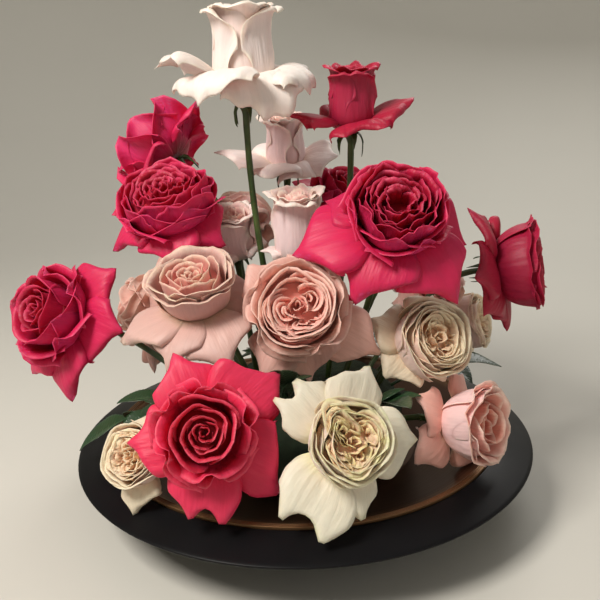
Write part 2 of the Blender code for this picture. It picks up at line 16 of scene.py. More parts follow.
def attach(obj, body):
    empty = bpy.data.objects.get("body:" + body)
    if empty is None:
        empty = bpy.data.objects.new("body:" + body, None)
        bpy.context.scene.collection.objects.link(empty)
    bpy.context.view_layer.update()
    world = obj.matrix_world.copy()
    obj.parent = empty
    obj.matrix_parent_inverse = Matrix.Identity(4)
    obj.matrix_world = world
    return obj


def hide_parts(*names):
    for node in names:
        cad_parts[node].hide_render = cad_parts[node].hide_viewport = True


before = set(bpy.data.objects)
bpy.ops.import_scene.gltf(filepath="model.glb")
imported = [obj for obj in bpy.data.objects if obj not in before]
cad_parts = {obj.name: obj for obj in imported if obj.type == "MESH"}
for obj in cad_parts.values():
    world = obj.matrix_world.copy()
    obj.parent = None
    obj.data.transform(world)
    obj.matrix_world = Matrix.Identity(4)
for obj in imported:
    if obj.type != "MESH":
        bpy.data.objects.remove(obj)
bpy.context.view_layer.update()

MM = 0.001
TAU = 2 * pi
GOLDEN_ANGLE = 137.508
UP = Vector((0, 0, 1))

# Bowl, dish and foam
RIM_RADIUS = 0.200
RIM_HEIGHT = 0.050
FOOT_RADIUS = 0.075
BOWL_WALL = 3 * MM
DISH_RADIUS = 0.1705
DISH_LIP_HEIGHT = 0.0605
DISH_LIP_WIDTH = 5.5 * MM
DISH_LIP_LINES = 3
DISH_FLOOR_RADIUS = 0.100
DISH_FLOOR_HEIGHT = 0.0400
DISH_WALL = 3 * MM
LEDGE_WIDTH = 10 * MM
LEDGE_FALL = 4 * MM
FOOT_HEIGHT = 4 * MM
FOOT_FLARE = 18 * MM
SEAT_GAP = 0.3 * MM
FOAM_RADIUS = 0.088
FOAM_TOP = 0.100
FOAM_SHOULDER = 0.020
FOAM_STEP = 3 * MM
FOAM_ROUGHNESS = 0.5 * MM
TURNED_SIDES = 144
CORNER_REACH = 0.45

# Stems: the neck is given by depth below the bloom and radius, a thorn by reach and radius, in millimetres,
# a ripple by its share of the radius and its turn at each point, and a thickness at the root and at the rim
STEM_RADIUS = 2.6 * MM
STEM_RIPPLE = (0.05, 1.7)
STEM_SIDES = 12
STEM_POINTS = 26
STEM_TOP_DROP = 9 * MM
NECK = ((0.3, 4.6), (1.2, 5.2), (3.0, 5.0), (5.0, 4.0), (7.0, 3.1))
NECK_LENGTH = 0.030
STEM_PULL = 0.4
ROOT_HEIGHT = 0.074
ROOT_RUN = 0.046
ROOT_SHARE = 0.9
ROOT_RING_OUTER = 0.066
ROOT_RING_INNER = 0.016
ROOT_RING_HEIGHT = 0.100
ROOT_RING_TAPER = 0.22
THORNS = 2
THORN = ((0.0, 1.5), (1.2, 1.0), (2.4, 0.5), (3.6, 0.12))
THORN_HOOK = 0.12
SEPALS = 5
SEPAL_HALF_WIDTH = 3.2
SEPAL_REACH = (9, 13)
SEPAL_DROP = (12, 20)
SEPAL_THICKNESS = (0.7 * MM, 0.4 * MM)

# Leafy shoots: a pair of side leaflets has its joint on the shoot, its turn, size and upward share
SPRIG_RADIUS = 1.5 * MM
SPRIG_STRAIGHT = 0.4
SPRIG_TAPER = (1.0, 1.0, 0.95, 0.85, 0.7)
LEAFLET_PAIRS = ((-2, 62, 0.85, 0.0), (-3, 50, 0.80, 0.5))
LEAFLET_OVERLAP = 3 * MM
LEAFLET_WIDTH = 0.32
LEAFLET_THICKNESS = (0.5 * MM, 0.35 * MM)
LEAFLET_SAG = 0.22
LEAFLET_FOLD = 0.3
LEAFLET_WAVE = 0.012
LEAFLET_CELLS = (12, 32)
LEAFLET_TEETH = 15
TOOTH_DEPTH = 0.09
LEAFLET_VEINS = 8
VEIN_SLANT = 0.22
VEIN_WIDTH = 0.30
VEIN_RELIEF = 0.3 * MM
MIDRIB_WIDTH = 0.14

# Petals: a wave has its height, folds across and slope along, a frill its height and folds, and a ragged rim
# its share of the length, the same for each crinkle, and its folds
PETAL_ROOT = (0.42, 0.15)
PETAL_ARCH = ((0.50, 10), (0.80, 11))
TIP_LIFT = 0.4
PETAL_THICKNESS = (0.7 * MM, 0.3 * MM)
TIP_VALLEY = 0.84
TIP_BREADTH = 0.18
TIP_SOFTNESS = 0.05
TIP_HOLD = 0.95
CORNER_HOLD = 0.8
MARGIN_CROWDING = 0.86
RIM_CROWDING = 1.25
SIDE_ROLL_START = 0.35
WAIST_END = 0.7
ROOT_BREADTH = 0.30
BREADTH_END = 0.6
LEAST_RADIUS = 0.5
WAVES = ((1.0, 2.2, 1.5), (0.55, 4.6, -2.0), (0.30, 8.5, 3.0))
WAVE_GROWTH = 1.7
FRILLS = ((1.0, 11), (0.6, 19))
FRILL_SHARE = 0.28
RAGS = ((0.010, 0.0, 5), (0.004, 0.022, 13))
GROOVE_DEPTH = 0.5
GROOVE_WIDTH = 0.16
THREE_SIDED = 0.035
FIVE_SIDED = 0.03
OUTER_DEPTH = -0.2
# How far out the side of a cup stands, low and high on it, as shares of its radius
CUP_SIDE = (1.15, 1.12)
GOBLET_SIDE = (0.86, 1.08)
CORE_SIDES = 24
HOLLOW_CORE = 0.6

# First numbers of the random draws
BLOOM_SEED = 100
STEM_SEED = 500
SPRIG_SEED = 900
FOAM_SEED = 7

# Stage, lamps and camera: a lamp has its place, size, power and colour
FLOOR_LEVEL = -0.2 * MM
STAGE_RADIUS = 2.3
STAGE_HEIGHT = 2.8
SWEEP_RADIUS = 1.1
SKY_COLOUR = (1.0, 0.97, 0.93, 1.0)
SKY_STRENGTH = 0.33
LAMPS = {
    "key": ((-0.62, -0.60, 1.10), 0.40, 17.0, (1.0, 0.95, 0.88)),
    "fill": ((1.5, -1.1, 0.7), 1.4, 3.5, (0.95, 0.97, 1.0)),
    "rim": ((0.7, 1.3, 1.3), 0.9, 10.0, (1.0, 0.98, 0.95)),
}
LAMP_AIM = Vector((0, 0, 0.2))
CAMERA_PLACE = (0, -0.604, 0.349)
CAMERA_DIP = 16.24
CAMERA_LEAN = 2.0
FIELD_OF_VIEW = 45.0
SENSOR_WIDTH = 36.0


@dataclass
class Rose:
    """One rose: its node's ending, place, turn, style, sizes, outer petals and colouring."""

    name: str
    place: tuple
    heading: float
    lift: float
    style: str
    radius: float
    height: float
    skirt: tuple
    colouring: str
    shift: tuple = (0.0, 0.0)
    tips: tuple = ()
    frill: float = 0.1
    breadth: float = 1.2
    tightness: float = 1.0
    wavy: float = 1.0
    arch: float = 0.0
    hollow: float = 0.0
    seam: float = 0.0
    heart: tuple = ()


ROSES = [
    Rose("pink_front_left", (-68, -146, 122), 5, 25, "spiral", 31, 43,
         ((183, 49, 6, 25), (110, 54, 2, 27), (42, 60, 2, 31), (332, 60, 2, 29), (262, 54, 4, 27)), "coral",
         tips=((0.0,), (0.0,), (-0.2,), (-0.5,), (-0.2, 0.5))),
    Rose("cream_front", (25, -148, 112), 14, 28, "folded", 28, 40,
         ((128, 50, 0, 25), (66, 54, 0, 25), (350, 50, 2, 26), (268, 48, 8, 20), (232, 60, 8, 29)), "green",
         tips=((-0.3, 0.4), (-0.2,), (0.1,), (0.3,), (-0.4, 0.5)), frill=0.3,
         heart=((125, 0.30, 0.34, 8, 1.7, 125), (15, 0.40, 0.32, 6, 1.5, 115), (290, 0.38, 0.34, 6, 1.4, 50),
                (215, 0.38, 0.30, 6, 1.5, 125))),
    Rose("blush_centre", (-2, -69, 184), 0, 25, "quartered", 35, 42,
         ((128, 46, 10, 27), (50, 46, 10, 27), (238, 55, -2, 24), (284, 52, -2, 25), (330, 66, -8, 24)),
         "peach"),
    Rose("blush_left", (-79, -59, 184), -10, 66, "goblet", 31, 44,
         ((216, 60, -6, 29), (256, 56, -8, 26), (304, 60, -10, 30), (24, 46, 6, 27), (140, 38, 2, 24)),
         "blush"),
    Rose("cream_right", (93, -57, 148), 25, 30, "folded", 30, 40,
         ((212, 40, 4, 22), (282, 31, 14, 18), (326, 31, 14, 18), (60, 42, 4, 24), (140, 42, 4, 24)),
         "cream"),
    Rose("blush_right", (111, -78, 91), 49, 12, "goblet", 28, 48,
         ((140, 37, -4, 22), (200, 44, -2, 22), (300, 38, 14, 24), (34, 42, 0, 22)), "shell", hollow=1.0),
    Rose("cream_small", (-118, -114, 88), -25, 30, "folded", 23, 32,
         ((280, 38, 6, 19), (100, 32, 4, 19), (170, 36, 2, 18), (20, 34, 0, 18)), "cream"),
    Rose("pink_far_left", (-194, -16, 169), -40, 25, "spiral", 37, 46,
         ((50, 56, 0, 28), (352, 60, -4, 29), (292, 64, -8, 27), (236, 64, -6, 27), (150, 46, 4, 26)),
         "crimson", (4, -22)),
    Rose("pink_upper_left", (-104, -4, 248), -15, 62, "ruffled", 42, 40,
         ((218, 50, -12, 26), (282, 52, -14, 28), (338, 50, -10, 26), (60, 42, 0, 26), (150, 42, -6, 26)),
         "crimson"),
    Rose("pink_back_left", (-106, 60, 290), -114, 35, "bell", 33, 50,
         ((150, 44, 4, 26), (88, 50, 8, 26), (298, 56, 10, 26), (350, 46, 0, 25), (222, 50, 6, 25)),
         "crimson", (-17, 42)),
    Rose("pink_upper_right", (71, -68, 248), 5, 42, "ruffled", 37, 44,
         ((188, 70, -10, 30), (146, 50, -2, 24), (247, 60, -12, 28), (302, 66, -16, 29), (346, 54, -8, 27),
          (60, 48, 2, 28)), "crimson", breadth=1.4, hollow=1.0),
    # Coloured with the darker copy of crimson, painted shade.
    Rose("pink_far_right", (163, -4, 196), 72, 10, "goblet", 36, 46,
         ((110, 56, -8, 25), (165, 58, -6, 26), (215, 52, -4, 25), (268, 52, 8, 28), (30, 50, 2, 26)),
         "crimson_shaded", (0, -22)),
    # Coloured with the darker copy of crimson, painted shade.
    Rose("pink_top", (46, 0, 314), 0, 84, "bud", 21, 51,
         ((186, 47, 17, 26), (282, 36, 6, 27), (350, 46, 25, 25), (90, 46, 16, 26)), "crimson_shaded",
         tips=((0.1,), (-0.5, 0.5), (0.2,), (0.0,)), frill=0.2, seam=78),
    Rose("blush_top", (-38, -8, 340), 0, 86, "bud", 26, 72,
         ((184, 66, 30, 27), (236, 58, 6, 31), (298, 50, -10, 28), (348, 56, 8, 27), (80, 52, 16, 29)),
         "pale", tips=((0.0,), (), (), (), ()), frill=0.9, breadth=1.35, tightness=0.45, wavy=1.8, arch=20),
    Rose("blush_back", (-9, 96, 274), 0, 78, "bud", 21, 54,
         ((184, 64, 24, 28), (246, 42, 6, 24), (306, 40, 2, 24), (354, 48, 20, 27), (90, 48, 12, 28)),
         "rosy", frill=0.5, breadth=1.35, tightness=0.5, wavy=1.5, arch=4, seam=25),
    Rose("blush_bud_centre", (-1, -16, 210), 0, 84, "bud", 22, 60,
         ((300, 30, 10, 18), (60, 28, 12, 18), (180, 28, 12, 18)), "rosy", seam=80),
    Rose("blush_bud_left", (-54, 22, 209), -10, 72, "bud", 21, 44,
         ((350, 26, 14, 17), (58, 30, 12, 17), (240, 30, 12, 20)), "rosy", seam=60),
    Rose("pink_back_right", (40, 112, 236), 40, 55, "spiral", 28, 40,
         ((120, 46, 0, 25), (200, 46, 0, 25), (280, 42, 0, 25), (20, 44, 0, 25)), "crimson"),
    Rose("peach_right_inner", (120, 58, 160), 25, 35, "spiral", 24, 38,
         ((90, 38, 0, 20), (180, 36, 0, 20), (270, 34, 2, 20), (0, 38, 0, 20)), "peach"),
    Rose("cream_far_right", (150, 82, 118), 62, 18, "folded", 26, 38,
         ((110, 40, 0, 22), (190, 40, 0, 23), (270, 42, 2, 24), (20, 42, 0, 23)), "cream"),
    Rose("peach_left_inner", (-135, 63, 148), -84, 10, "spiral", 29, 42,
         ((92, 60, -4, 26), (30, 50, -2, 26), (322, 60, -2, 27), (262, 60, 4, 27), (170, 50, 0, 26)),
         "peach"),
    Rose("blush_back_high", (-56, 94, 214), 178, 48, "quartered", 28, 40,
         ((100, 42, 0, 25), (180, 38, 0, 24), (260, 44, 0, 25), (20, 42, 0, 25)), "blush"),
    Rose("pink_back_low", (4, 138, 128), 182, 24, "spiral", 31, 44,
         ((80, 52, 0, 28), (355, 52, 0, 28), (268, 50, 4, 28), (178, 52, 0, 28)), "coral"),
    Rose("cream_back_left", (-92, 110, 112), -146, 22, "folded", 28, 40,
         ((90, 46, 0, 25), (0, 46, 0, 25), (270, 42, 6, 25), (180, 46, 0, 25)), "green"),
    Rose("blush_back_right", (96, 118, 176), 142, 34, "spiral", 29, 42,
         ((90, 48, 0, 27), (5, 48, 0, 27), (275, 48, 0, 27), (185, 48, 0, 27)), "shell"),
]

# Leafy shoots: end of the node's name, foot in the foam, tip, leaflet length, droop of the tip
SPRIGS = [
    ("left", (-56, -36, 80), (-150, -54, 116), 46, 26),
    ("front_left", (-34, -62, 84), (-112, -84, 130), 34, 8),
    ("front", (-12, -66, 86), (-14, -108, 140), 34, 0),
    ("front_right", (44, -52, 84), (64, -100, 122), 36, 4),
    ("right", (64, 4, 80), (142, 12, 120), 44, 14),
    ("back_right", (40, 56, 80), (62, 140, 104), 44, 14),
    ("back_left", (-30, 50, 82), (-48, 128, 88), 30, 6),
]

# Petal colours for each slot: inner face, outer face, rim, root and heart of the bloom. In the pink slot the
# root and heart colours are far darker reds: painted shade of the petal bases and of the bloom's depths.
COLOURINGS = {
    "pink_petals": {
        "coral": ((0.72, 0.028, 0.090), (0.68, 0.034, 0.115), (0.84, 0.10, 0.17), (0.40, 0.01, 0.02),
                  (0.42, 0.004, 0.018)),
        "crimson": ((0.60, 0.014, 0.085), (0.64, 0.024, 0.135), (0.76, 0.065, 0.18), (0.26, 0.004, 0.02),
                    (0.34, 0.003, 0.020)),
        # The next colouring is crimson darkened all over: painted shade, a shaded copy of crimson for roses
        # that stand away from the key light.
        "crimson_shaded": ((0.36, 0.008, 0.036), (0.38, 0.012, 0.052), (0.56, 0.040, 0.10), (0.18, 0.003, 0.013),
                 (0.22, 0.003, 0.013)),
    },
    "blush_petals": {
        "blush": ((0.66, 0.40, 0.355), (0.70, 0.40, 0.37), (0.84, 0.72, 0.50), (0.70, 0.52, 0.36),
                  (0.74, 0.29, 0.26)),
        "peach": ((0.80, 0.43, 0.37), (0.72, 0.47, 0.39), (0.80, 0.58, 0.48), (0.72, 0.50, 0.36),
                  (0.90, 0.38, 0.32)),
        "shell": ((0.92, 0.45, 0.38), (0.96, 0.60, 0.59), (0.96, 0.78, 0.64), (0.86, 0.62, 0.46),
                  (0.84, 0.25, 0.19)),
        "pale": ((0.91, 0.78, 0.71), (0.91, 0.74, 0.70), (0.93, 0.86, 0.66), (0.84, 0.74, 0.56),
                 (0.88, 0.50, 0.43)),
        "rosy": ((0.94, 0.74, 0.70), (0.95, 0.68, 0.68), (0.95, 0.87, 0.68), (0.86, 0.70, 0.58),
                 (0.90, 0.46, 0.42)),
    },
    "cream_petals": {
        "cream": ((0.82, 0.67, 0.49), (0.86, 0.59, 0.52), (0.86, 0.78, 0.50), (0.76, 0.64, 0.42),
                  (0.86, 0.54, 0.36)),
        "green": ((0.77, 0.69, 0.54), (0.86, 0.67, 0.61), (0.72, 0.75, 0.27), (0.72, 0.68, 0.38),
                  (0.88, 0.56, 0.38)),
    },
}
PETAL_SLOTS = {name: slot for slot, names in COLOURINGS.items() for name in names}

# Rings that make the outside of a cup, from the outside in: how many petals, turn, shares of the cup's radius
# and height, then the petals' other values in the order of RING_FORM, the later ones only where unusual
RING_FORM = ("rim_roll", "rim_share", "side_roll", "shoulder", "depth", "crinkle", "wave", "folds", "waist")
CUP_RINGS = {
    "spiral": ((5, 0, 0.90, 0.74, 105, 0.34, 45, 0.66, 0.06),
               (4, 45, 0.80, 0.86, 80, 0.28, 35, 0.70, 0.16)),
    "goblet": ((3, 0, 0.94, 0.88, 95, 0.20, 8, 0.94, -0.1, 0.6, 1.4, 1.8, 1.0),
               (3, 60, 0.88, 0.94, 80, 0.16, 8, 0.90, 0.1, 0.6, 1.3, 1.8, 1.0)),
    "quartered": ((4, 0, 0.90, 0.76, 105, 0.30, 25, 0.70, -0.2, 0.1),
                  (3, 60, 0.84, 0.87, 80, 0.22, 25, 0.74, -0.1, 0.1)),
    "folded": ((3, 0, 0.92, 0.84, 75, 0.15, 12, 0.82, -0.2, 0.4),
               (3, 60, 0.86, 0.89, 60, 0.14, 12, 0.82, -0.1, 0.4)),
    "ruffled": ((4, 0, 0.88, 0.70, 80, 0.26, 40, 0.66, 0.1, 0.2),
                (4, 45, 0.82, 0.82, 75, 0.22, 35, 0.70, 0.2, 0.3)),
    "bell": ((5, 0, 1.00, 0.92, 110, 0.36, 95, 0.50, 0.08),
             (4, 45, 0.88, 0.94, 80, 0.28, 70, 0.56, 0.15)),
}
SMOOTH_CUPS = ("goblet", "folded")
# Pairs of petals of a bud, from the outside in: shares of its radius and height, azimuths, spread, rim roll
BUD_RINGS = (
    (0.94, 1.03, (-8, 188), 67, 95),
    (0.84, 1.07, (280, 100), 88, 80),
    (0.72, 1.05, (30, 200), 90, 60),
)
# Lobes of a heart: azimuth, shares of the radius for how far out and how big, folds, stretch and its bearing
LOBES = {
    "quartered": ((205, 0.25, 0.46, 6, 1.1, 120), (28, 0.27, 0.46, 6, 1.1, 120),
                  (292, 0.40, 0.32, 5, 1.5, 20)),
    "folded": ((100, 0.26, 0.42, 7, 1.3, 25), (290, 0.32, 0.38, 6, 1.3, 20), (200, 0.36, 0.28, 4, 1.2, 110)),
}


def add_node(tree, kind, inputs=(), output=0, **settings):
    """Output socket of a new shader node, with its settings and inputs, each a socket to link or a value."""
    made = tree.nodes.new("ShaderNode" + kind)
    for name, value in settings.items():
        setattr(made, name, value)
    for key, value in dict(inputs).items():
        if isinstance(value, bpy.types.NodeSocket):
            tree.links.new(value, made.inputs[key])
        else:
            made.inputs[key].default_value = value
    return made.outputs[output]


def joined(tree, x, y=0.0, z=0.0):
    """Socket of the vector of three numbers, each a socket or a value."""
    return add_node(tree, "CombineXYZ", {0: x, 1: y, 2: z})


def mixed(tree, share, first, second, blend="MIX"):
    """Socket of the mix of two colours, each a socket or an RGB triple."""
    first, second = ((*value, 1.0) if isinstance(value, tuple) else value for value in (first, second))
    inputs = {0: share, 6: first, 7: second}
    return add_node(tree, "Mix", inputs, 2, data_type="RGBA", blend_type=blend)


def scaled(tree, value, factor, added=0.0):
    """Socket of a number times a factor plus another number, each a socket or a value."""
    return add_node(tree, "Math", {0: value, 1: factor, 2: added}, operation="MULTIPLY_ADD")


def ranged(tree, value, low, high, to_low=0.0, to_high=1.0):
    """Socket of a value taken smoothly from one range to another."""
    inputs = {0: value, 1: low, 2: high, 3: to_low, 4: to_high}
    return add_node(tree, "MapRange", inputs, interpolation_type="SMOOTHSTEP")


def stored(tree, name):
    """Socket of a number stored on the mesh's points."""
    return add_node(tree, "Attribute", output="Fac", attribute_name=name)


def noise(tree, scale, detail=3.0, vector=None, roughness=0.5):
    """Socket of a noise with so many cells to the metre, on the object's coordinates or on a vector."""
    if vector is None:
        vector = add_node(tree, "TexCoord", output="Object")
    inputs = {"Vector": vector, "Scale": scale, "Detail": detail, "Roughness": roughness}
    return add_node(tree, "TexNoise", inputs, "Fac")


def bump(tree, height, distance, strength=1.0, after=None):
    """Socket of the normal that a height gives, laid over an earlier one."""
    inputs = {"Height": height, "Distance": distance, "Strength": strength}
    if after is not None:
        inputs["Normal"] = after
    return add_node(tree, "Bump", inputs, "Normal")


def new_material(name, **values):
    """A Principled material and its node tree, with the given constants set on the shader."""
    made = bpy.data.materials.new(name)
    made.use_nodes = True
    shader = made.node_tree.nodes["Principled BSDF"]
    for key, value in values.items():
        shader.inputs[key.replace("_", " ")].default_value = value
    return made, made.node_tree


def linked(made, **sockets):
    """The material, with sockets linked to the inputs of its shader."""
    shader = made.node_tree.nodes["Principled BSDF"]
    for key, socket in sockets.items():
        made.node_tree.links.new(socket, shader.inputs[key.replace("_", " ")])
    return made


def petal_material(name):
    """Velvety petal: body, heart, root and rim colours, with soft mottling, veins and creases along it. On
    the red roses the heart and root colours are painted shade.
    """
    slot = PETAL_SLOTS[name]
    face, back, rim, root, heart = COLOURINGS[slot][name]
    red = slot == "pink_petals"
    made, tree = new_material(
        "petal_" + name, Roughness=0.50, Sheen_Weight=0.15, Sheen_Roughness=0.45, Sheen_Tint=(*rim, 1.0),
        Specular_IOR_Level=0.35, Subsurface_Scale=0.003, Subsurface_Weight=0.30 if red else 0.35,
        Subsurface_Radius=(1.0, 0.35, 0.30) if red else (1.0, 0.75, 0.65))
    across, along, margin, depth, tone, inside = (
        stored(tree, key) for key in ("across", "along", "margin", "depth", "tone", "inside"))
    colour = mixed(tree, inside, back, face)
    # Deeper petals take the heart colour and petal bases the root colour. On the pale roses these are their
    # real salmon heart and yellowish base; on the red roses they are darker reds, painted shade of the
    # bloom's depths.
    colour = mixed(tree, ranged(tree, depth, 0.05, 0.75), colour, heart)
    colour = mixed(tree, ranged(tree, along, 0.45, 0.05), colour, root)
    patches = noise(tree, 90.0, 4.0)
    edge = ranged(tree, scaled(tree, patches, 0.5, scaled(tree, margin, 1.0, -0.25)), 0.78, 1.15, 0.0, 0.7)
    edge = scaled(tree, edge, ranged(tree, depth, -0.3, 0.1, 0.4, 1.0))
    colour = mixed(tree, edge, colour, rim)
    own = scaled(tree, tone, 40.0)
    veins = noise(tree, 2.2, 4.0, joined(tree, scaled(tree, across, 16.0), along, own))
    creases = noise(tree, 1.6, 2.0, joined(tree, scaled(tree, across, 3.0), along, own))
    shade = scaled(tree, veins, 0.12, scaled(tree, patches, 0.16, scaled(tree, tone, 0.14, 0.79)))
    grey = add_node(tree, "CombineColor", {0: shade, 1: shade, 2: shade})
    normal = bump(tree, veins, 0.0006, 0.28, bump(tree, creases, 0.005, 0.35))
    return linked(made, Base_Color=mixed(tree, 1.0, colour, grey, "MULTIPLY"),
                  Normal=bump(tree, noise(tree, 900.0, 2.0), 0.00008, 0.5, normal))


def stem_material():
    """Fresh green stem, paler and darker green in soft random patches, with small rusty freckles."""
    made, tree = new_material("stem_green", Roughness=0.42, Specular_IOR_Level=0.45)
    green_patches = ranged(tree, noise(tree, 60.0), 0.35, 0.7)
    colour = mixed(tree, green_patches, (0.026, 0.055, 0.012), (0.070, 0.115, 0.030))
    colour = mixed(tree, ranged(tree, noise(tree, 420.0), 0.62, 0.74, 0.0, 0.6), colour, (0.13, 0.055, 0.025))
    return linked(made, Base_Color=colour, Normal=bump(tree, noise(tree, 700.0), 0.0002, 0.5))


def leaf_material():
    """Dark glossy leaf with paler side veins and midrib, duller below."""
    made, tree = new_material("leaf_green", Roughness=0.30, Specular_IOR_Level=0.6, Coat_Weight=0.15)
    vein = stored(tree, "vein")
    colour = mixed(tree, noise(tree, 55.0), (0.010, 0.035, 0.013), (0.030, 0.075, 0.028))
    colour = mixed(tree, ranged(tree, vein, 0.35, 1.0, 0.0, 0.55), colour, (0.10, 0.16, 0.07))
    colour = mixed(tree, stored(tree, "inside"), (0.055, 0.095, 0.050), colour)
    normal = bump(tree, noise(tree, 500.0), 0.0002, 0.4, bump(tree, vein, 0.0005, 0.8))
    return linked(made, Base_Color=colour, Normal=normal)


def foam_material():
    """Soaked dark green flower foam with fine pores."""
    made, tree = new_material("foam_green", Roughness=0.85)
    colour = mixed(tree, noise(tree, 130.0, 6.0), (0.006, 0.014, 0.006), (0.030, 0.055, 0.024))
    return linked(made, Base_Color=colour, Normal=bump(tree, noise(tree, 900.0, 6.0, roughness=0.8), 0.001))


def bowl_material():
    """Satin black lacquer on metal, faintly clouded and rubbed."""
    made, tree = new_material("bowl_black", Specular_IOR_Level=0.12, Coat_Weight=0.02, Coat_Roughness=0.40)
    clouds = noise(tree, 14.0, 5.0)
    colour = mixed(tree, clouds, (0.003, 0.003, 0.0035), (0.006, 0.006, 0.007))
    return linked(made, Base_Color=colour, Roughness=ranged(tree, clouds, 0.3, 0.7, 0.34, 0.46),
                  Normal=bump(tree, noise(tree, 1500.0, 2.0), 0.00004, 0.5))


def dish_material():
    """Dark bronze, brushed in rings, warmer and brighter towards its lip."""
    made, tree = new_material("dish_bronze", Metallic=0.85)
    place = add_node(tree, "TexCoord", output="Object")
    level = add_node(tree, "VectorMath", {0: place, 1: (1, 1, 0)}, operation="MULTIPLY")
    radius = add_node(tree, "VectorMath", {0: level}, "Value", operation="LENGTH")
    rings = noise(tree, 900.0, 3.0, joined(tree, radius))
    colour = mixed(tree, noise(tree, 25.0, 5.0), (0.030, 0.012, 0.006), (0.080, 0.034, 0.015))
    colour = mixed(tree, ranged(tree, radius, 0.155, 0.172, 0.0, 0.8), colour, (0.36, 0.20, 0.095))
    colour = mixed(tree, ranged(tree, rings, 0.35, 0.65, 0.0, 0.35), colour, (0.10, 0.045, 0.020))
    return linked(made, Base_Color=colour, Roughness=ranged(tree, rings, 0.3, 0.7, 0.30, 0.48),
                  Normal=bump(tree, rings, 0.0001, 0.6))


def floor_material():
    """Pale matt floor, very faintly clouded."""
    made, tree = new_material("floor_pale", Roughness=0.75, Specular_IOR_Level=0.2)
    return linked(made, Base_Color=mixed(tree, noise(tree, 2.0), (0.60, 0.583, 0.53), (0.64, 0.623, 0.57)))


def smooth(x):
    """Soft step from 0 to 1."""
    x = np.clip(x, 0, 1)
    return x * x * (3 - 2 * x)


def bezier(points, t):
    """Places along a Bezier curve through any number of control points, at each t."""
    layer = [np.array(point, float) for point in points]
    t = t[..., None]
    while len(layer) > 1:
        layer = [one + (two - one) * t for one, two in zip(layer, layer[1:])]
    return layer[0]


@dataclass
class Petal:
    """One petal in the frame of its bloom, in millimetres and degrees.

    curve holds control points (radius, height) of its centre line. spread is
    half its width, or for a wrapped petal half the angle that it turns round
    the axis. tips are the places across it, from -1 to 1, where its rim comes
    to a point. rim_roll and side_roll turn its margins back, twist lets one
    margin lie inside its neighbour, and centre is the axis that it wraps round.
    waist is how much of its width a wrapped petal has at its root.
    """

    azimuth: float
    curve: tuple
    spread: float
    wrapped: bool = True
    hug: float = 0.0
    shoulder: float = 0.7
    squareness: float = 2.2
    tips: tuple = ()
    twist: float = 0.0
    rim_roll: float = 50.0
    rim_share: float = 0.2
    side_roll: float = 40.0
    side_share: float = 0.3
    wave: float = 0.8
    folds: float = 1.0
    crinkle: float = 0.0
    waist: float = 0.72
    centre: tuple = (0.0, 0.0, 0.0)
    stretch: tuple = (1.0, 0.0)
    depth: float = 0.0
    cells: tuple = (16, 10)


def from_middle(values, u):
    """Running integral over the first axis at uneven places u, zero in its middle row."""
    parts = (values[1:] + values[:-1]) / 2 * np.diff(u, axis=0)
    total = np.concatenate([np.zeros((1, values.shape[1])), np.cumsum(parts, axis=0)])
    return total - total[len(total) // 2]


def unit(vectors):
    """The vectors of an array, each made 1 long."""
    return vectors / np.maximum(np.linalg.norm(vectors, axis=-1, keepdims=True), 1e-12)


def heading(degrees):
    """Level unit vector at an angle from +X."""
    return np.array((cos(radians(degrees)), sin(radians(degrees)), 0.0))


def sheet_normals(grid):
    """Unit normals of a grid of points, on its inner face."""
    return unit(np.cross(np.gradient(grid, axis=1), np.gradient(grid, axis=0)))


def rim_outline(petal, u):
    """How far the petal reaches at each place across it, and how near to a tip each place is."""
    tips = petal.tips
    round_rim = 1 - (1 - petal.shoulder) * np.abs(u) ** petal.squareness
    if not tips:
        return round_rim, np.zeros_like(u)
    knots = [(-1.0, petal.shoulder), (1.0, petal.shoulder), *((tip, 1.0) for tip in tips)]
    knots += [((one + two) / 2, TIP_VALLEY) for one, two in zip(tips, tips[1:])]
    straight_rim = np.interp(u, *zip(*sorted(knots)))
    nearness = np.max([np.exp(-(((u - tip) / TIP_BREADTH) ** 2)) for tip in tips], axis=0)
    return straight_rim * (1 - TIP_SOFTNESS) + round_rim * TIP_SOFTNESS, nearness


def rolled_lines(petal, place, u, v, nearness):
    """A petal's lines from root to rim, rolled back at the rim but less at its tips and smooth corners."""
    middle = (v[:, 1:] + v[:, :-1]) / 2
    roll = radians(petal.rim_roll) * (1 - TIP_HOLD * nearness)
    roll = roll * smooth((middle - 1 + petal.rim_share) / petal.rim_share)
    if petal.wrapped and not petal.tips:
        roll = roll * (1 - CORNER_HOLD * np.abs(u) ** 4)
    steps = np.diff(place, axis=1) * np.exp(-1j * roll)
    return np.concatenate([place[:, :1], place[:, :1] + np.cumsum(steps, axis=1)], axis=1)


def wrapped_sheet(petal, place, lines, u, t, back):
    """Plan and height of a petal that wraps round the bloom's axis, its sides turned back by an angle."""
    reach = np.maximum(place.real, LEAST_RADIUS)
    half = radians(petal.spread) * reach * (petal.waist + (1 - petal.waist) * smooth(t / WAIST_END))
    aside = from_middle(half * np.exp(1j * back * np.sign(u)), u)
    radius = lines.real * (1 + petal.twist * u) + aside.imag
    return radius * np.exp(1j * (aside.real / reach + radians(petal.azimuth))), lines.imag


def open_sheet(petal, place, lines, u, t, back):
    """Plan and height of a petal that lies straight out from the axis, its sides turned back as above."""
    growth = np.sin(pi / 2 * np.minimum(1, t / BREADTH_END))
    half = petal.spread * (ROOT_BREADTH + (1 - ROOT_BREADTH) * growth)
    bend = radians(petal.hug) * u - back * np.sign(u)
    aside = from_middle(half * np.exp(1j * bend), u) * np.exp(1j * radians(petal.twist))
    slope = np.gradient(place, axis=1)
    lines = lines + 1j * aside.imag * slope / np.maximum(np.abs(slope), 1e-9)
    return (lines.real + 1j * aside.real) * np.exp(1j * radians(petal.azimuth)), lines.imag


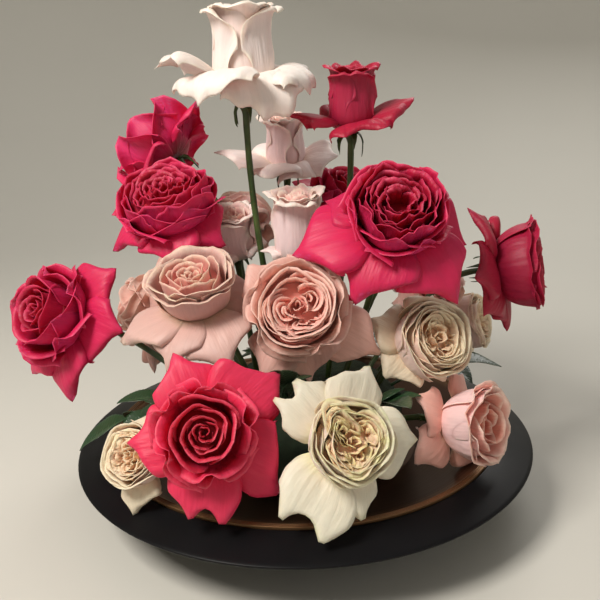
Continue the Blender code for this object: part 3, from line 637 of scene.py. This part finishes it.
def ripples(petal, u, v, phase):
    """How far a petal stands off its smooth sheet: long waves, a frilled rim and a groove down its middle."""
    waves = sum(high * np.sin(folds * petal.folds * u + shift + slope * v)
                for (high, folds, slope), shift in zip(WAVES, phase[2:]))
    frills = sum(high * np.sin(folds * u + shift) for (high, folds), shift in zip(FRILLS, phase[5:]))
    lift = petal.wave * v**WAVE_GROWTH * waves
    lift = lift + petal.crinkle * smooth((v - 1 + FRILL_SHARE) / FRILL_SHARE) * frills
    return lift - GROOVE_DEPTH * np.exp(-(u / GROOVE_WIDTH) ** 2) * np.sin(pi * v)


def petal_grid(petal, rng):
    """Points of a petal's middle surface, with how far across, along and near its margin each is.

    Its centre lines are complex numbers, radius and height, and so is its plan, x and y.
    """
    across, along = petal.cells
    crowd = pi / 2 * MARGIN_CROWDING
    u = np.sin(np.linspace(-1, 1, across + 1) * crowd)[:, None] / sin(crowd)
    v = 1 - (1 - np.linspace(0, 1, along + 1)[None, :]) ** RIM_CROWDING
    phase = rng.uniform(0, TAU, 8)
    outline, nearness = rim_outline(petal, u)
    ragged = 1 + sum((plain + frilled * petal.crinkle) * np.sin(folds * u + shift)
                     for (plain, frilled, folds), shift in zip(RAGS, phase))
    t = v * outline * ragged
    place = bezier(petal.curve, t) @ np.array((1, 1j))
    lines = rolled_lines(petal, place, u, v, nearness)
    back = radians(petal.side_roll) * smooth((np.abs(u) - 1 + petal.side_share) / petal.side_share)
    sheet = wrapped_sheet if petal.wrapped else open_sheet
    plan, height = sheet(petal, place, lines, u, t, back * smooth(t / SIDE_ROLL_START))
    grid = np.stack([plan.real, plan.imag, height], axis=-1)
    grid = grid + sheet_normals(grid) * ripples(petal, u, v, phase)[..., None]
    length, bearing = petal.stretch
    pull = heading(bearing)
    grid = grid + (grid @ pull)[..., None] * pull * (length - 1) + np.array(petal.centre)
    margin = np.maximum(np.abs(u) ** 3, v**2) * np.ones_like(t)
    return grid * MM, u * np.ones_like(t), v * np.ones_like(u), margin


class Mesh:
    """Gathers closed blades and turned forms with their stored numbers, then makes one object of them."""

    def __init__(self):
        self.points = []
        self.quads = []
        self.numbers = {}
        self.count = 0

    def add(self, points, quads, **numbers):
        """Adds points and four-cornered faces. Each number is one value or one for each point."""
        self.points.append(points)
        self.quads.append(quads + self.count)
        for name, value in numbers.items():
            self.numbers.setdefault(name, []).append(np.broadcast_to(value, len(points)))
        self.count += len(points)

    def add_blade(self, grid, thick_root, thick_rim, **numbers):
        """Adds a blade round a grid. Numbers are one value or one for each point of the grid."""
        shape = grid.shape[:2]
        share = np.linspace(0, 1, shape[1])[:, None]
        half = sheet_normals(grid) * (thick_root + (thick_rim - thick_root) * share) / 2
        back = shape[0] * shape[1]
        index = np.arange(back).reshape(shape)
        cells = np.stack([index[:-1, :-1], index[:-1, 1:], index[1:, 1:], index[1:, :-1]], axis=-1)
        cells = cells.reshape(-1, 4)
        edge = np.concatenate([index[:-1, 0], index[-1, :-1], index[:0:-1, -1], index[0, :0:-1]])
        after = np.roll(edge, -1)
        walls = np.stack([edge, after, after + back, edge + back], axis=-1)
        doubled = {name: np.tile(np.broadcast_to(value, shape).ravel(), 2) for name, value in numbers.items()}
        self.add(np.stack([grid + half, grid - half]).reshape(-1, 3),
                 np.concatenate([cells, cells[:, ::-1] + back, walls]), **doubled,
                 inside=np.repeat([1.0, 0.0], back))

    def add_tube(self, line, radii, sides, guide, **numbers):
        """Adds a closed tube along a line of points, with a radius at each of them."""
        line, guide = np.array([tuple(point) for point in line]), np.array(guide)
        along = unit(np.gradient(line, axis=0))
        first = unit(guide - along * (along @ guide)[:, None])
        angle = (np.arange(sides) * TAU / sides)[:, None]
        rings = first[:, None] * np.cos(angle) + np.cross(along, first)[:, None] * np.sin(angle)
        self.add_rings(line[:, None] + np.array(radii)[:, None, None] * rings, **numbers)

    def add_rings(self, rings, **numbers):
        """Adds a closed form from rings of points, ended by a tiny ring at each end."""
        ends = [ring.mean(0) + (ring - ring.mean(0)) * 0.02 for ring in (rings[0], rings[-1])]
        rings = np.concatenate([ends[0][None], rings, ends[1][None]])
        index, quads = ring_quads(rings)
        caps = [fan(index[0][::-1]), fan(index[-1])]
        self.add(rings.reshape(-1, 3), np.concatenate([quads, *caps]), **numbers)

    def make(self, name, finish):
        """The object of everything that was added."""
        mesh = bpy.data.meshes.new(name)
        mesh.from_pydata(np.concatenate(self.points).tolist(), [], np.concatenate(self.quads).tolist())
        for key, values in self.numbers.items():
            layer = mesh.attributes.new(key, "FLOAT", "POINT")
            layer.data.foreach_set("value", np.concatenate(values).astype(np.float32))
        mesh.shade_smooth()
        mesh.materials.append(finish)
        made = bpy.data.objects.new(name, mesh)
        bpy.context.scene.collection.objects.link(made)
        return made


def ring_quads(rings):
    """Numbers of the points of some rings, and four-cornered faces from each ring to the next."""
    index = np.arange(rings.shape[0] * rings.shape[1]).reshape(rings.shape[:2])
    after = np.roll(index, -1, axis=1)
    return index, np.stack([index[:-1], after[:-1], after[1:], index[1:]], axis=-1).reshape(-1, 4)


def fan(ring):
    """Four-cornered faces that fill a ring with an even number of points."""
    return np.array([[ring[0], ring[k], ring[k + 1], ring[k + 2]] for k in range(1, len(ring) - 2, 2)])


def turned(profile, sides=TURNED_SIDES):
    """Rings of points of a profile of (radius, height) turned about +Z."""
    radius, height = np.array(profile).T[:, :, None]
    angle = np.arange(sides) * TAU / sides
    return np.stack([radius * np.cos(angle), radius * np.sin(angle), height + 0 * angle], axis=-1)


def place_piece(piece, node, slot):
    """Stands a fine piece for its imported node."""
    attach(piece, "root")
    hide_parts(node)


def outer_petals(rose, rng):
    """The reflexed outer petals of the table, broad, with their margins rolled back to sharp tips."""
    for number, (azimuth, reach, height, half_width) in enumerate(rose.skirt):
        rise = max(height, 0) * TIP_LIFT + rose.arch
        root = (rose.radius * PETAL_ROOT[0], rose.height * PETAL_ROOT[1])
        arch = [(reach * share, level + rise) for share, level in PETAL_ARCH]
        lean = rng.uniform(-0.3, 0.3)
        tips = rose.tips[number] if number < len(rose.tips) else (lean,)
        roll = rng.uniform(80, 125) * rose.tightness
        yield Petal(
            azimuth, (root, *arch, (reach * (1.02 + 0.10 * rose.tightness), height)),
            half_width * rose.breadth, wrapped=False,
            hug=-16 + rng.uniform(-8, 8), shoulder=0.55 if tips else 0.66, squareness=1.6, tips=tips, twist=9,
            rim_roll=roll, rim_share=0.18, side_roll=roll * 1.15, side_share=0.38,
            wave=rng.uniform(0.8, 1.5) * rose.wavy, folds=rng.uniform(0.8, 1.3) * rose.wavy**0.5,
            crinkle=rose.frill, cells=(34, 18) if rose.wavy > 1 else (24, 16))


def ring_petal(rose, azimuth, share, level, spread, **more):
    """A petal that stands round the axis: share and level are of the cup's radius and height."""
    radius, height = rose.radius * share, rose.height * level
    root = (rose.radius * 0.10, rose.height * 0.06)
    foot, belly = GOBLET_SIDE if rose.style == "goblet" else CUP_SIDE
    curve = (root, (radius * foot, rose.height * 0.02), (radius * belly, height * 0.66), (radius, height))
    return Petal(azimuth, curve, spread, **more)


def cup_rings(rose, rng, start):
    """The rings of broad petals that make the outside of the cup."""
    for count, turn, share, level, *form in CUP_RINGS[rose.style]:
        for number in range(count):
            lean = rng.uniform(-0.25, 0.25)
            yield ring_petal(
                rose, start + turn + 360 * (number + rng.uniform(-0.06, 0.06)) / count, share,
                level + rng.uniform(-0.03, 0.03), 240 / count, twist=0.05, squareness=3.0, cells=(20, 13),
                tips=() if rose.style in SMOOTH_CUPS else (lean,), **dict(zip(RING_FORM, form)))


def swirl_petals(rose, rng, count, outer, inner, top, dip, depth=(0.3, 1.0), roll=(40, 18), **more):
    """Petals wound in a spiral, each with one margin inside the next, from the cup to the middle."""
    start = rng.uniform(0, 360)
    for number in range(count):
        done = number / (count - 1)
        share = outer + (inner - outer) * done**0.85
        level = top - dip * done**1.6 + rng.uniform(-0.015, 0.015)
        form = dict(
            twist=0.08 + 0.10 * done, shoulder=0.74, squareness=2.6,
            rim_roll=roll[0] + (roll[1] - roll[0]) * done, rim_share=0.12, side_roll=24 - 16 * done,
            wave=0.7, folds=1.5, cells=(16, 8), depth=depth[0] + (depth[1] - depth[0]) * done)
        yield ring_petal(rose, start + GOLDEN_ANGLE * number, share, level, 62 + 50 * done, **(form | more))


def spiral_head(rose, rng):
    """A classic rose: wide petals turned back at their points, round a deep swirl."""
    yield from cup_rings(rose, rng, rng.uniform(0, 360))
    yield from swirl_petals(rose, rng, 15, 0.71, 0.05, 0.93, 0.06, roll=(62, 20), rim_share=0.15, wave=0.9)


def goblet_head(rose, rng):
    """A smooth round cup with crinkled flaring lips, and a nested swirl in it."""
    yield from cup_rings(rose, rng, rng.uniform(0, 360))
    count = 11 if rose.hollow else 17
    yield from swirl_petals(rose, rng, count, 0.76, 0.06, 0.95, 0.08 + 0.16 * rose.hollow,
                            depth=(0.35, 1.0), wave=1.1, crinkle=0.2, rim_roll=20)


def lobe(rose, rng, azimuth, out, size, folds, level, stretch, crinkle):
    """A small swirl of folds nested about a point of the heart, open towards the middle."""
    for fold in range(folds):
        done = fold / max(folds - 1, 1)
        yield ring_petal(
            rose, azimuth + rng.uniform(-25, 25), size * (1 - done) ** 0.9 + 0.04 * done,
            level - 0.05 * done + rng.uniform(-0.03, 0.02), 100 + 40 * done,
            twist=rng.uniform(-0.16, 0.16), shoulder=0.84, squareness=2.6, rim_roll=rng.uniform(20, 70),
            rim_share=0.16, side_roll=12, wave=0.9, folds=1.4, crinkle=crinkle, stretch=stretch,
            centre=rose.radius * out * heading(azimuth), depth=0.4 + 0.5 * done, cells=(18, 7))


def lobes(rose, rng, level, crinkle):
    """All the lobes of a heart, and a little swirl that closes its middle."""
    for azimuth, out, size, folds, *stretch in rose.heart or LOBES[rose.style]:
        yield from lobe(rose, rng, azimuth, out, size, folds, level, stretch, crinkle)
    yield from swirl_petals(rose, rng, 5, 0.24, 0.05, level - 0.02, 0.02, depth=(0.8, 1.0))


def quartered_head(rose, rng):
    """A full rose whose heart parts into swirls of their own."""
    yield from cup_rings(rose, rng, rng.uniform(0, 360))
    yield from swirl_petals(rose, rng, 8, 0.80, 0.52, 0.93, 0.03, depth=(0.1, 0.6), wave=1.0, rim_roll=55)
    yield from lobes(rose, rng, 0.90, 0.1)


def folded_head(rose, rng):
    """A smooth cup whose heart is of long wavy folds, nested like the leaves of a book."""
    yield from cup_rings(rose, rng, rng.uniform(0, 360))
    yield from swirl_petals(rose, rng, 8, 0.80, 0.56, 0.93, 0.0, depth=(0.1, 0.4), wave=1.3)
    yield from lobes(rose, rng, 0.93, 0.3)


def ruffled_head(rose, rng):
    """Many wavy petals, packed to the middle or round a dark hollow."""
    start = rng.uniform(0, 360)
    yield from cup_rings(rose, rng, start)
    count = 28 if rose.hollow else 36
    for number in range(count):
        done = number / (count - 1)
        level = 0.94 - 0.06 * done * rose.hollow + rng.uniform(-0.05, 0.03)
        yield ring_petal(
            rose, start + GOLDEN_ANGLE * number, 0.82 - (0.74 - 0.12 * rose.hollow) * done, level,
            42 + 30 * done, twist=rng.uniform(0.0, 0.14), shoulder=0.78, rim_roll=rng.uniform(20, 60),
            rim_share=0.15, side_roll=25, wave=1.5, folds=2.0, crinkle=0.5, depth=0.3 + 0.7 * done,
            cells=(16, 8))


def bud_head(rose, rng):
    """A tall urn: broad petals wrapped from either side, waisted, with flared and crinkled lips."""
    for ring, (share, level, azimuths, spread, roll) in enumerate(BUD_RINGS):
        for azimuth in azimuths:
            radius, height = rose.radius * share, rose.height * (level + rng.uniform(-0.02, 0.02))
            curve = ((rose.radius * 0.15, 1.5), (radius * 1.30, rose.height * 0.02),
                     (radius * 1.10, height * 0.42), (radius * 0.46, height * 0.76), (radius * 1.20, height))
            yield Petal(
                rose.seam + azimuth + rng.uniform(-4, 4), curve, spread, twist=0.04, shoulder=0.60,
                squareness=4.0, rim_roll=roll + rng.uniform(-15, 15), rim_share=0.10, side_roll=50,
                side_share=0.14, wave=0.9, folds=2.4, crinkle=0.7, waist=1.0, depth=0.24 * ring,
                cells=(30, 18))
    yield from swirl_petals(rose, rng, 9, 0.56, 0.08, 1.02, 0.05, depth=(0.5, 1.0), crinkle=0.3)


def bell_head(rose, rng):
    """An open bell of broad pointed petals."""
    yield from cup_rings(rose, rng, rng.uniform(0, 72))
    yield from swirl_petals(rose, rng, 11, 0.72, 0.07, 0.90, 0.08)


# For each style its petals, and the core that they stand on, as shares of the cup's radius and height
HEADS = {
    "spiral": (spiral_head, 0.60, 0.62),
    "goblet": (goblet_head, 0.74, 0.70),
    "quartered": (quartered_head, 0.80, 0.56),
    "folded": (folded_head, 0.82, 0.64),
    "ruffled": (ruffled_head, 0.70, 0.74),
    "bud": (bud_head, 0.42, 0.86),
    "bell": (bell_head, 0.55, 0.60),
}


def frame_of(rose):
    """Matrix that stands a bloom's own frame in the arrangement."""
    right = Vector(heading(rose.heading))
    ahead, lift = right.cross(UP), radians(rose.lift)
    axis = ahead * cos(lift) + UP * sin(lift)
    turn = Matrix((right, axis.cross(right), axis)).transposed().to_4x4()
    return Matrix.Translation(Vector(rose.place) * MM) @ turn


def moved(matrix, points):
    """Points of an array taken through a matrix."""
    matrix = np.array(matrix)
    return points @ matrix[:3, :3].T + matrix[:3, 3]


def out_of_round(grid, rose, bearings):
    """A head's points with its circle pulled a little to three and to five sides towards the rim."""
    angle = np.arctan2(grid[..., 1], grid[..., 0])
    rise = smooth(grid[..., 2] / (rose.height * MM))
    three, five = (np.cos(sides * angle + bearing) for sides, bearing in zip((3, 5), bearings))
    pull = 1 + rise * (THREE_SIDED * three + FIVE_SIDED * five)
    return grid * np.stack([pull, pull, np.ones_like(pull)], axis=-1)


def add_core(body, turn, rose, share, level):
    """The closed heart under the inner petals, so that the gaps between them aren't bottomless."""
    if rose.hollow:
        level = level * HOLLOW_CORE
    profile = [(0.25, 0.10), (0.8 * share, 0.4 * level)]
    profile += [(share * cos(tilt), level * (0.8 + 0.2 * sin(tilt)))
                for tilt in np.linspace(0, pi / 2, 8)[:-1]]
    rings = turned(np.array(profile) * (rose.radius * MM, rose.height * MM), CORE_SIDES)
    # The core takes the heart colour: on the red roses a dark red, painted shade standing in for the bloom's
    # dark depths.
    body.add_rings(moved(turn, rings), across=0.0, along=0.8, margin=0.0, depth=1.0, tone=0.5, inside=1.0)


def add_bloom(rose, number, finish):
    """One bloom: its outer petals and its head, petal by petal."""
    rng = np.random.default_rng(BLOOM_SEED + number)
    bearings = rng.uniform(0, TAU, 2)
    turn = frame_of(rose)
    body = Mesh()
    head, core_share, core_level = HEADS[rose.style]
    add_core(body, turn, rose, core_share, core_level)
    for petal in [*outer_petals(rose, rng), *head(rose, rng)]:
        grid, across, along, margin = petal_grid(petal, rng)
        if petal.wrapped:
            grid = out_of_round(grid, rose, bearings)
        depth = petal.depth if petal.wrapped else OUTER_DEPTH
        body.add_blade(moved(turn, grid), *PETAL_THICKNESS, across=across, along=along, margin=margin,
                       depth=depth, tone=rng.uniform(0, 1))
    place_piece(body.make("fine_rose_" + rose.name, finish), "rose_" + rose.name, PETAL_SLOTS[rose.colouring])


def stem_line(rose):
    """Points down the middle of a stem, from its neck to its end in the foam."""
    x, y, z = (value * MM for value in rose.place)
    out = hypot(x, y)
    wanted = ROOT_RING_OUTER - (z - ROOT_RING_HEIGHT) * ROOT_RING_TAPER
    wanted = min(max(wanted, ROOT_RING_INNER), ROOT_RING_OUTER)
    share = min(wanted, out * ROOT_SHARE) / out
    root = Vector((x * share + rose.shift[0] * MM, y * share + rose.shift[1] * MM, ROOT_HEIGHT))
    turn = frame_of(rose)
    axis = turn.to_3x3() @ UP
    top = turn @ Vector((0, 0, -STEM_TOP_DROP - SEAT_GAP))
    lead = (root - (top - axis * NECK_LENGTH)).normalized()
    entry = root - lead * ROOT_RUN
    pull = (entry - top).length * STEM_PULL
    handles = (top, top - axis * pull, entry - lead * pull, entry)
    return list(bezier(handles, np.linspace(0, 1, STEM_POINTS))) + [np.array(root)]


def add_stem(rose, number, finish):
    """A stem with its swollen neck, a few thorns and five sepals under the bloom."""
    rng = np.random.default_rng(STEM_SEED + number)
    turn = frame_of(rose)
    guide = tuple(turn.to_3x3() @ Vector((1, 0, 0)))
    body = Mesh()
    tops = [np.array(turn @ Vector((0, 0, -down * MM))) for down, _ in NECK]
    line = stem_line(rose)
    radii = [wide * MM for _, wide in NECK]
    high, step = STEM_RIPPLE
    radii += [STEM_RADIUS * (1 + high * sin(step * k + number)) for k in range(len(line))]
    body.add_tube(tops + line, radii, STEM_SIDES, guide, inside=1.0, vein=0.0)
    for sepal in range(SEPALS):
        reach, drop = rng.uniform(*SEPAL_REACH), rng.uniform(*SEPAL_DROP)
        curve = ((3.0, -1.0), (8.0, 0.5), (reach + 3, -drop * 0.4), (reach - 1, -drop))
        petal = Petal(360 / SEPALS * sepal + rng.uniform(-10, 10), curve, SEPAL_HALF_WIDTH, wrapped=False,
                      hug=25, shoulder=0.25, squareness=0.9, rim_roll=rng.uniform(-10, 25), side_roll=0,
                      wave=0.3, cells=(6, 12))
        body.add_blade(moved(turn, petal_grid(petal, rng)[0]), *SEPAL_THICKNESS, vein=0.0)
    for _ in range(THORNS):
        at = rng.integers(4, 20)
        add_thorn(body, line[at], line[at + 1] - line[at], rng.uniform(0, TAU), guide)
    place_piece(body.make("fine_stem_" + rose.name, finish), "stem_" + rose.name, "stems")


def add_thorn(body, place, along, angle, guide):
    """One small hooked thorn on a stem."""
    along = Vector(along).normalized()
    out = (Vector(guide) - along * along.dot(Vector(guide))).normalized()
    out = Matrix.Rotation(angle, 3, along) @ out
    line = [Vector(place) + out * (STEM_RADIUS * 0.6 + reach * MM) + along * (reach * reach * THORN_HOOK * MM)
            for reach, _ in THORN]
    body.add_tube(line, [wide * MM for _, wide in THORN], 8, tuple(along), inside=1.0, vein=0.0)


def add_leaflet(body, start, direction, length, rng):
    """One leaflet: toothed, folded along its rib, arched, with its side veins stored as a number."""
    side = direction.cross(UP).normalized()
    lift = np.array(side.cross(direction).normalized())
    side, direction, start = np.array(side), np.array(direction), np.array(start)
    u = np.linspace(-1, 1, LEAFLET_CELLS[0] + 1)[:, None]
    t = np.linspace(0, 1, LEAFLET_CELLS[1] + 1)[None, :]
    teeth = 1 + TOOTH_DEPTH * (np.mod(t * LEAFLET_TEETH, 1) - 0.5) * (t < 0.97)
    width = length * LEAFLET_WIDTH * np.maximum(np.sin(pi * t**0.8) ** 0.85 * teeth, 0.03)
    veins = np.abs(np.mod((t - VEIN_SLANT * np.abs(u)) * LEAFLET_VEINS, 1) - 0.5) * 2
    veins = smooth((VEIN_WIDTH - veins) / VEIN_WIDTH) * (1 - 0.6 * np.abs(u))
    veins = np.maximum(veins, smooth((MIDRIB_WIDTH - np.abs(u)) / MIDRIB_WIDTH))
    sag = length * (LEAFLET_SAG + rng.uniform(-0.05, 0.05)) * t * t
    wave = length * LEAFLET_WAVE * np.sin(9 * t + rng.uniform(0, TAU))
    rise = (width * LEAFLET_FOLD + wave) * np.abs(u) - VEIN_RELIEF * veins - sag
    out, aside = (length * t)[..., None], (width * u)[..., None]
    grid = start + direction * out + side * aside + lift * rise[..., None]
    body.add_blade(grid[::-1], *LEAFLET_THICKNESS, vein=veins[::-1])


def add_sprig(number, name, foot, tip, size, droop, finish):
    """A leafy shoot, with a leaflet at its tip and pairs below it."""
    rng = np.random.default_rng(SPRIG_SEED + number)
    foot, tip = Vector(foot) * MM, Vector(tip) * MM
    line = [foot]
    for bend in np.linspace(0, 1, len(SPRIG_TAPER) - 1):
        at = foot.lerp(tip, SPRIG_STRAIGHT + (1 - SPRIG_STRAIGHT) * bend)
        line.append(at - UP * (bend * bend * droop * MM))
    heading = (line[-1] - line[-2]).normalized()
    body = Mesh()
    body.add_tube(line, [SPRIG_RADIUS * share for share in SPRIG_TAPER], 10, UP, inside=1.0, vein=0.2)
    length = size * MM
    add_leaflet(body, line[-1] - heading * LEAFLET_OVERLAP, heading, length, rng)
    for joint, turn, share, rise in LEAFLET_PAIRS:
        for sense in (1, -1):
            aside = (Matrix.Rotation(sense * radians(turn), 3, "Z") @ heading).normalized()
            add_leaflet(body, line[joint], (aside + UP * rise).normalized(), length * share, rng)
    place_piece(body.make("fine_leaves_" + name, finish), "leaf_sprig_" + name, "leaves")


def rounded(corners, radius, cuts=4):
    """A profile with each inner corner taken round."""
    corners = [np.array(corner, float) for corner in corners]
    line = [corners[0]]
    for before, corner, after in zip(corners, corners[1:], corners[2:]):
        reach = [min(radius, np.linalg.norm(end - corner) * CORNER_REACH) for end in (before, after)]
        one = corner + (before - corner) / np.linalg.norm(before - corner) * reach[0]
        two = corner + (after - corner) / np.linalg.norm(after - corner) * reach[1]
        line += list(bezier((one, corner, two), np.linspace(0, 1, cuts + 1)))
    return line + [corners[-1]]


def place_rings(name, rings, finish, node, slot):
    """A turned piece from its rings of points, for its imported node."""
    body = Mesh()
    body.add_rings(rings)
    place_piece(body.make(name, finish), node, slot)


def add_bowl(finish):
    """The black bowl with its wide brim and softly rounded edge."""
    seat = DISH_RADIUS + SEAT_GAP
    ledge = DISH_LIP_HEIGHT - DISH_WALL - SEAT_GAP
    edge = 1 * MM
    corners = [
        (edge, 0), (FOOT_RADIUS, 0), (FOOT_RADIUS + FOOT_FLARE, FOOT_HEIGHT),
        (seat - LEDGE_WIDTH + edge, ledge - LEDGE_FALL - BOWL_WALL * 2), (seat + edge, ledge - BOWL_WALL),
        (RIM_RADIUS - edge, RIM_HEIGHT - BOWL_WALL), (RIM_RADIUS, RIM_HEIGHT - edge),
        (RIM_RADIUS - 2 * edge, RIM_HEIGHT + 0.1 * edge), (seat, ledge + 1.3 * MM), (seat, ledge),
        (seat - LEDGE_WIDTH, ledge - LEDGE_FALL),
        (FOOT_RADIUS + FOOT_FLARE - 2 * edge, FOOT_HEIGHT + BOWL_WALL),
        (FOOT_RADIUS - 2 * edge, BOWL_WALL), (edge, BOWL_WALL),
    ]
    place_rings("fine_bowl", turned(rounded(corners, 1.5 * MM)), finish, "wide_rim_bowl", "bowl")


def add_dish(finish):
    """The bronze dish, with fine raised lines round its lip."""
    underside = DISH_FLOOR_HEIGHT - DISH_WALL
    lip_inside = DISH_RADIUS - DISH_LIP_WIDTH
    edge = 1 * MM
    corners = [
        (edge, underside), (DISH_FLOOR_RADIUS + edge, underside), (DISH_RADIUS, DISH_LIP_HEIGHT - DISH_WALL),
        (DISH_RADIUS, DISH_LIP_HEIGHT - 0.2 * edge),
    ]
    pitch = DISH_LIP_WIDTH / DISH_LIP_LINES
    for line in range(DISH_LIP_LINES):
        outer = DISH_RADIUS - pitch * line
        level = DISH_LIP_HEIGHT - 0.15 * MM * line
        corners += [(outer - pitch * 0.25, level), (outer - pitch * 0.65, level - 0.05 * MM),
                    (outer - pitch * 0.85, level - 0.6 * MM)]
    corners += [(lip_inside - edge, DISH_LIP_HEIGHT - 1.8 * MM), (DISH_FLOOR_RADIUS, DISH_FLOOR_HEIGHT),
                (edge, DISH_FLOOR_HEIGHT)]
    place_rings("fine_dish", turned(rounded(corners, 0.5 * MM, 3)), finish, "bronze_dish", "dish")


def add_foam(finish):
    """The domed block of foam, with its crumbly surface."""
    low = DISH_FLOOR_HEIGHT + SEAT_GAP
    corners = [(1 * MM, low), (FOAM_RADIUS, low), (FOAM_RADIUS, FOAM_TOP - FOAM_SHOULDER),
               (FOAM_RADIUS - FOAM_SHOULDER, FOAM_TOP), (1 * MM, FOAM_TOP)]
    outline = rounded(corners, 9 * MM, 8)
    profile = []
    for one, two in zip(outline, outline[1:]):
        cuts = max(1, int(np.linalg.norm(two - one) / FOAM_STEP))
        profile += [one + (two - one) * k / cuts for k in range(cuts)]
    rings = turned([*profile, outline[-1]])
    rough = np.random.default_rng(FOAM_SEED).uniform(-FOAM_ROUGHNESS, FOAM_ROUGHNESS, rings.shape[:2])
    rough[rings[..., 2] < low + 1 * MM] = 0
    place_rings("fine_foam", rings + rough[..., None], finish, "flower_foam", "foam")


def add_stage():
    """A plain pale floor that sweeps up into a round backdrop."""
    profile = [(0.01, FLOOR_LEVEL), (1.0, FLOOR_LEVEL)]
    profile += [(STAGE_RADIUS - SWEEP_RADIUS * (1 - sin(turn)), FLOOR_LEVEL + SWEEP_RADIUS * (1 - cos(turn)))
                for turn in np.linspace(0, pi / 2, 13)]
    rings = turned([*profile, (STAGE_RADIUS, STAGE_HEIGHT)])
    index, quads = ring_quads(rings)
    body = Mesh()
    body.add(rings.reshape(-1, 3), np.concatenate([quads[:, ::-1], fan(index[0])]))
    stage = body.make("floor", floor_material())


def add_light():
    """Soft studio light: a warm key from the upper left, a weak fill, a rim light and a pale sky."""
    scene = bpy.context.scene
    scene.view_settings.view_transform = "Standard"
    world = bpy.data.worlds.new("studio")
    world.use_nodes = True
    sky = world.node_tree.nodes["Background"]
    sky.inputs["Color"].default_value = SKY_COLOUR
    sky.inputs["Strength"].default_value = SKY_STRENGTH
    scene.world = world
    for name, (place, size, power, colour) in LAMPS.items():
        light = bpy.data.lights.new(name, "AREA")
        light.size = size
        light.energy = power
        light.color = colour
        lamp = bpy.data.objects.new(name, light)
        lamp.location = place
        lamp.visible_camera = False
        lamp.rotation_euler = (LAMP_AIM - Vector(place)).to_track_quat("-Z", "Y").to_euler()
        scene.collection.objects.link(lamp)


def add_camera():
    """The camera at the photograph's angle, its level and its slight lean."""
    lens = bpy.data.cameras.new("camera")
    lens.sensor_width = SENSOR_WIDTH
    lens.lens = SENSOR_WIDTH / 2 / tan(radians(FIELD_OF_VIEW / 2))
    camera = bpy.data.objects.new("camera", lens)
    camera.matrix_world = (
        Matrix.Translation(CAMERA_PLACE)
        @ Matrix.Rotation(radians(90 - CAMERA_DIP), 4, "X")
        @ Matrix.Rotation(radians(-CAMERA_LEAN), 4, "Z")
    )
    bpy.context.scene.collection.objects.link(camera)
    bpy.context.scene.camera = camera


add_stage()
add_light()
add_camera()
petal_finishes = {name: petal_material(name) for name in PETAL_SLOTS}
stem_finish, leaf_finish = stem_material(), leaf_material()
for number, rose in enumerate(ROSES):
    add_bloom(rose, number, petal_finishes[rose.colouring])
    add_stem(rose, number, stem_finish)
for number, sprig in enumerate(SPRIGS):
    add_sprig(number, *sprig, leaf_finish)
add_bowl(bowl_material())
add_dish(dish_material())
add_foam(foam_material())

bpy.context.view_layer.update()
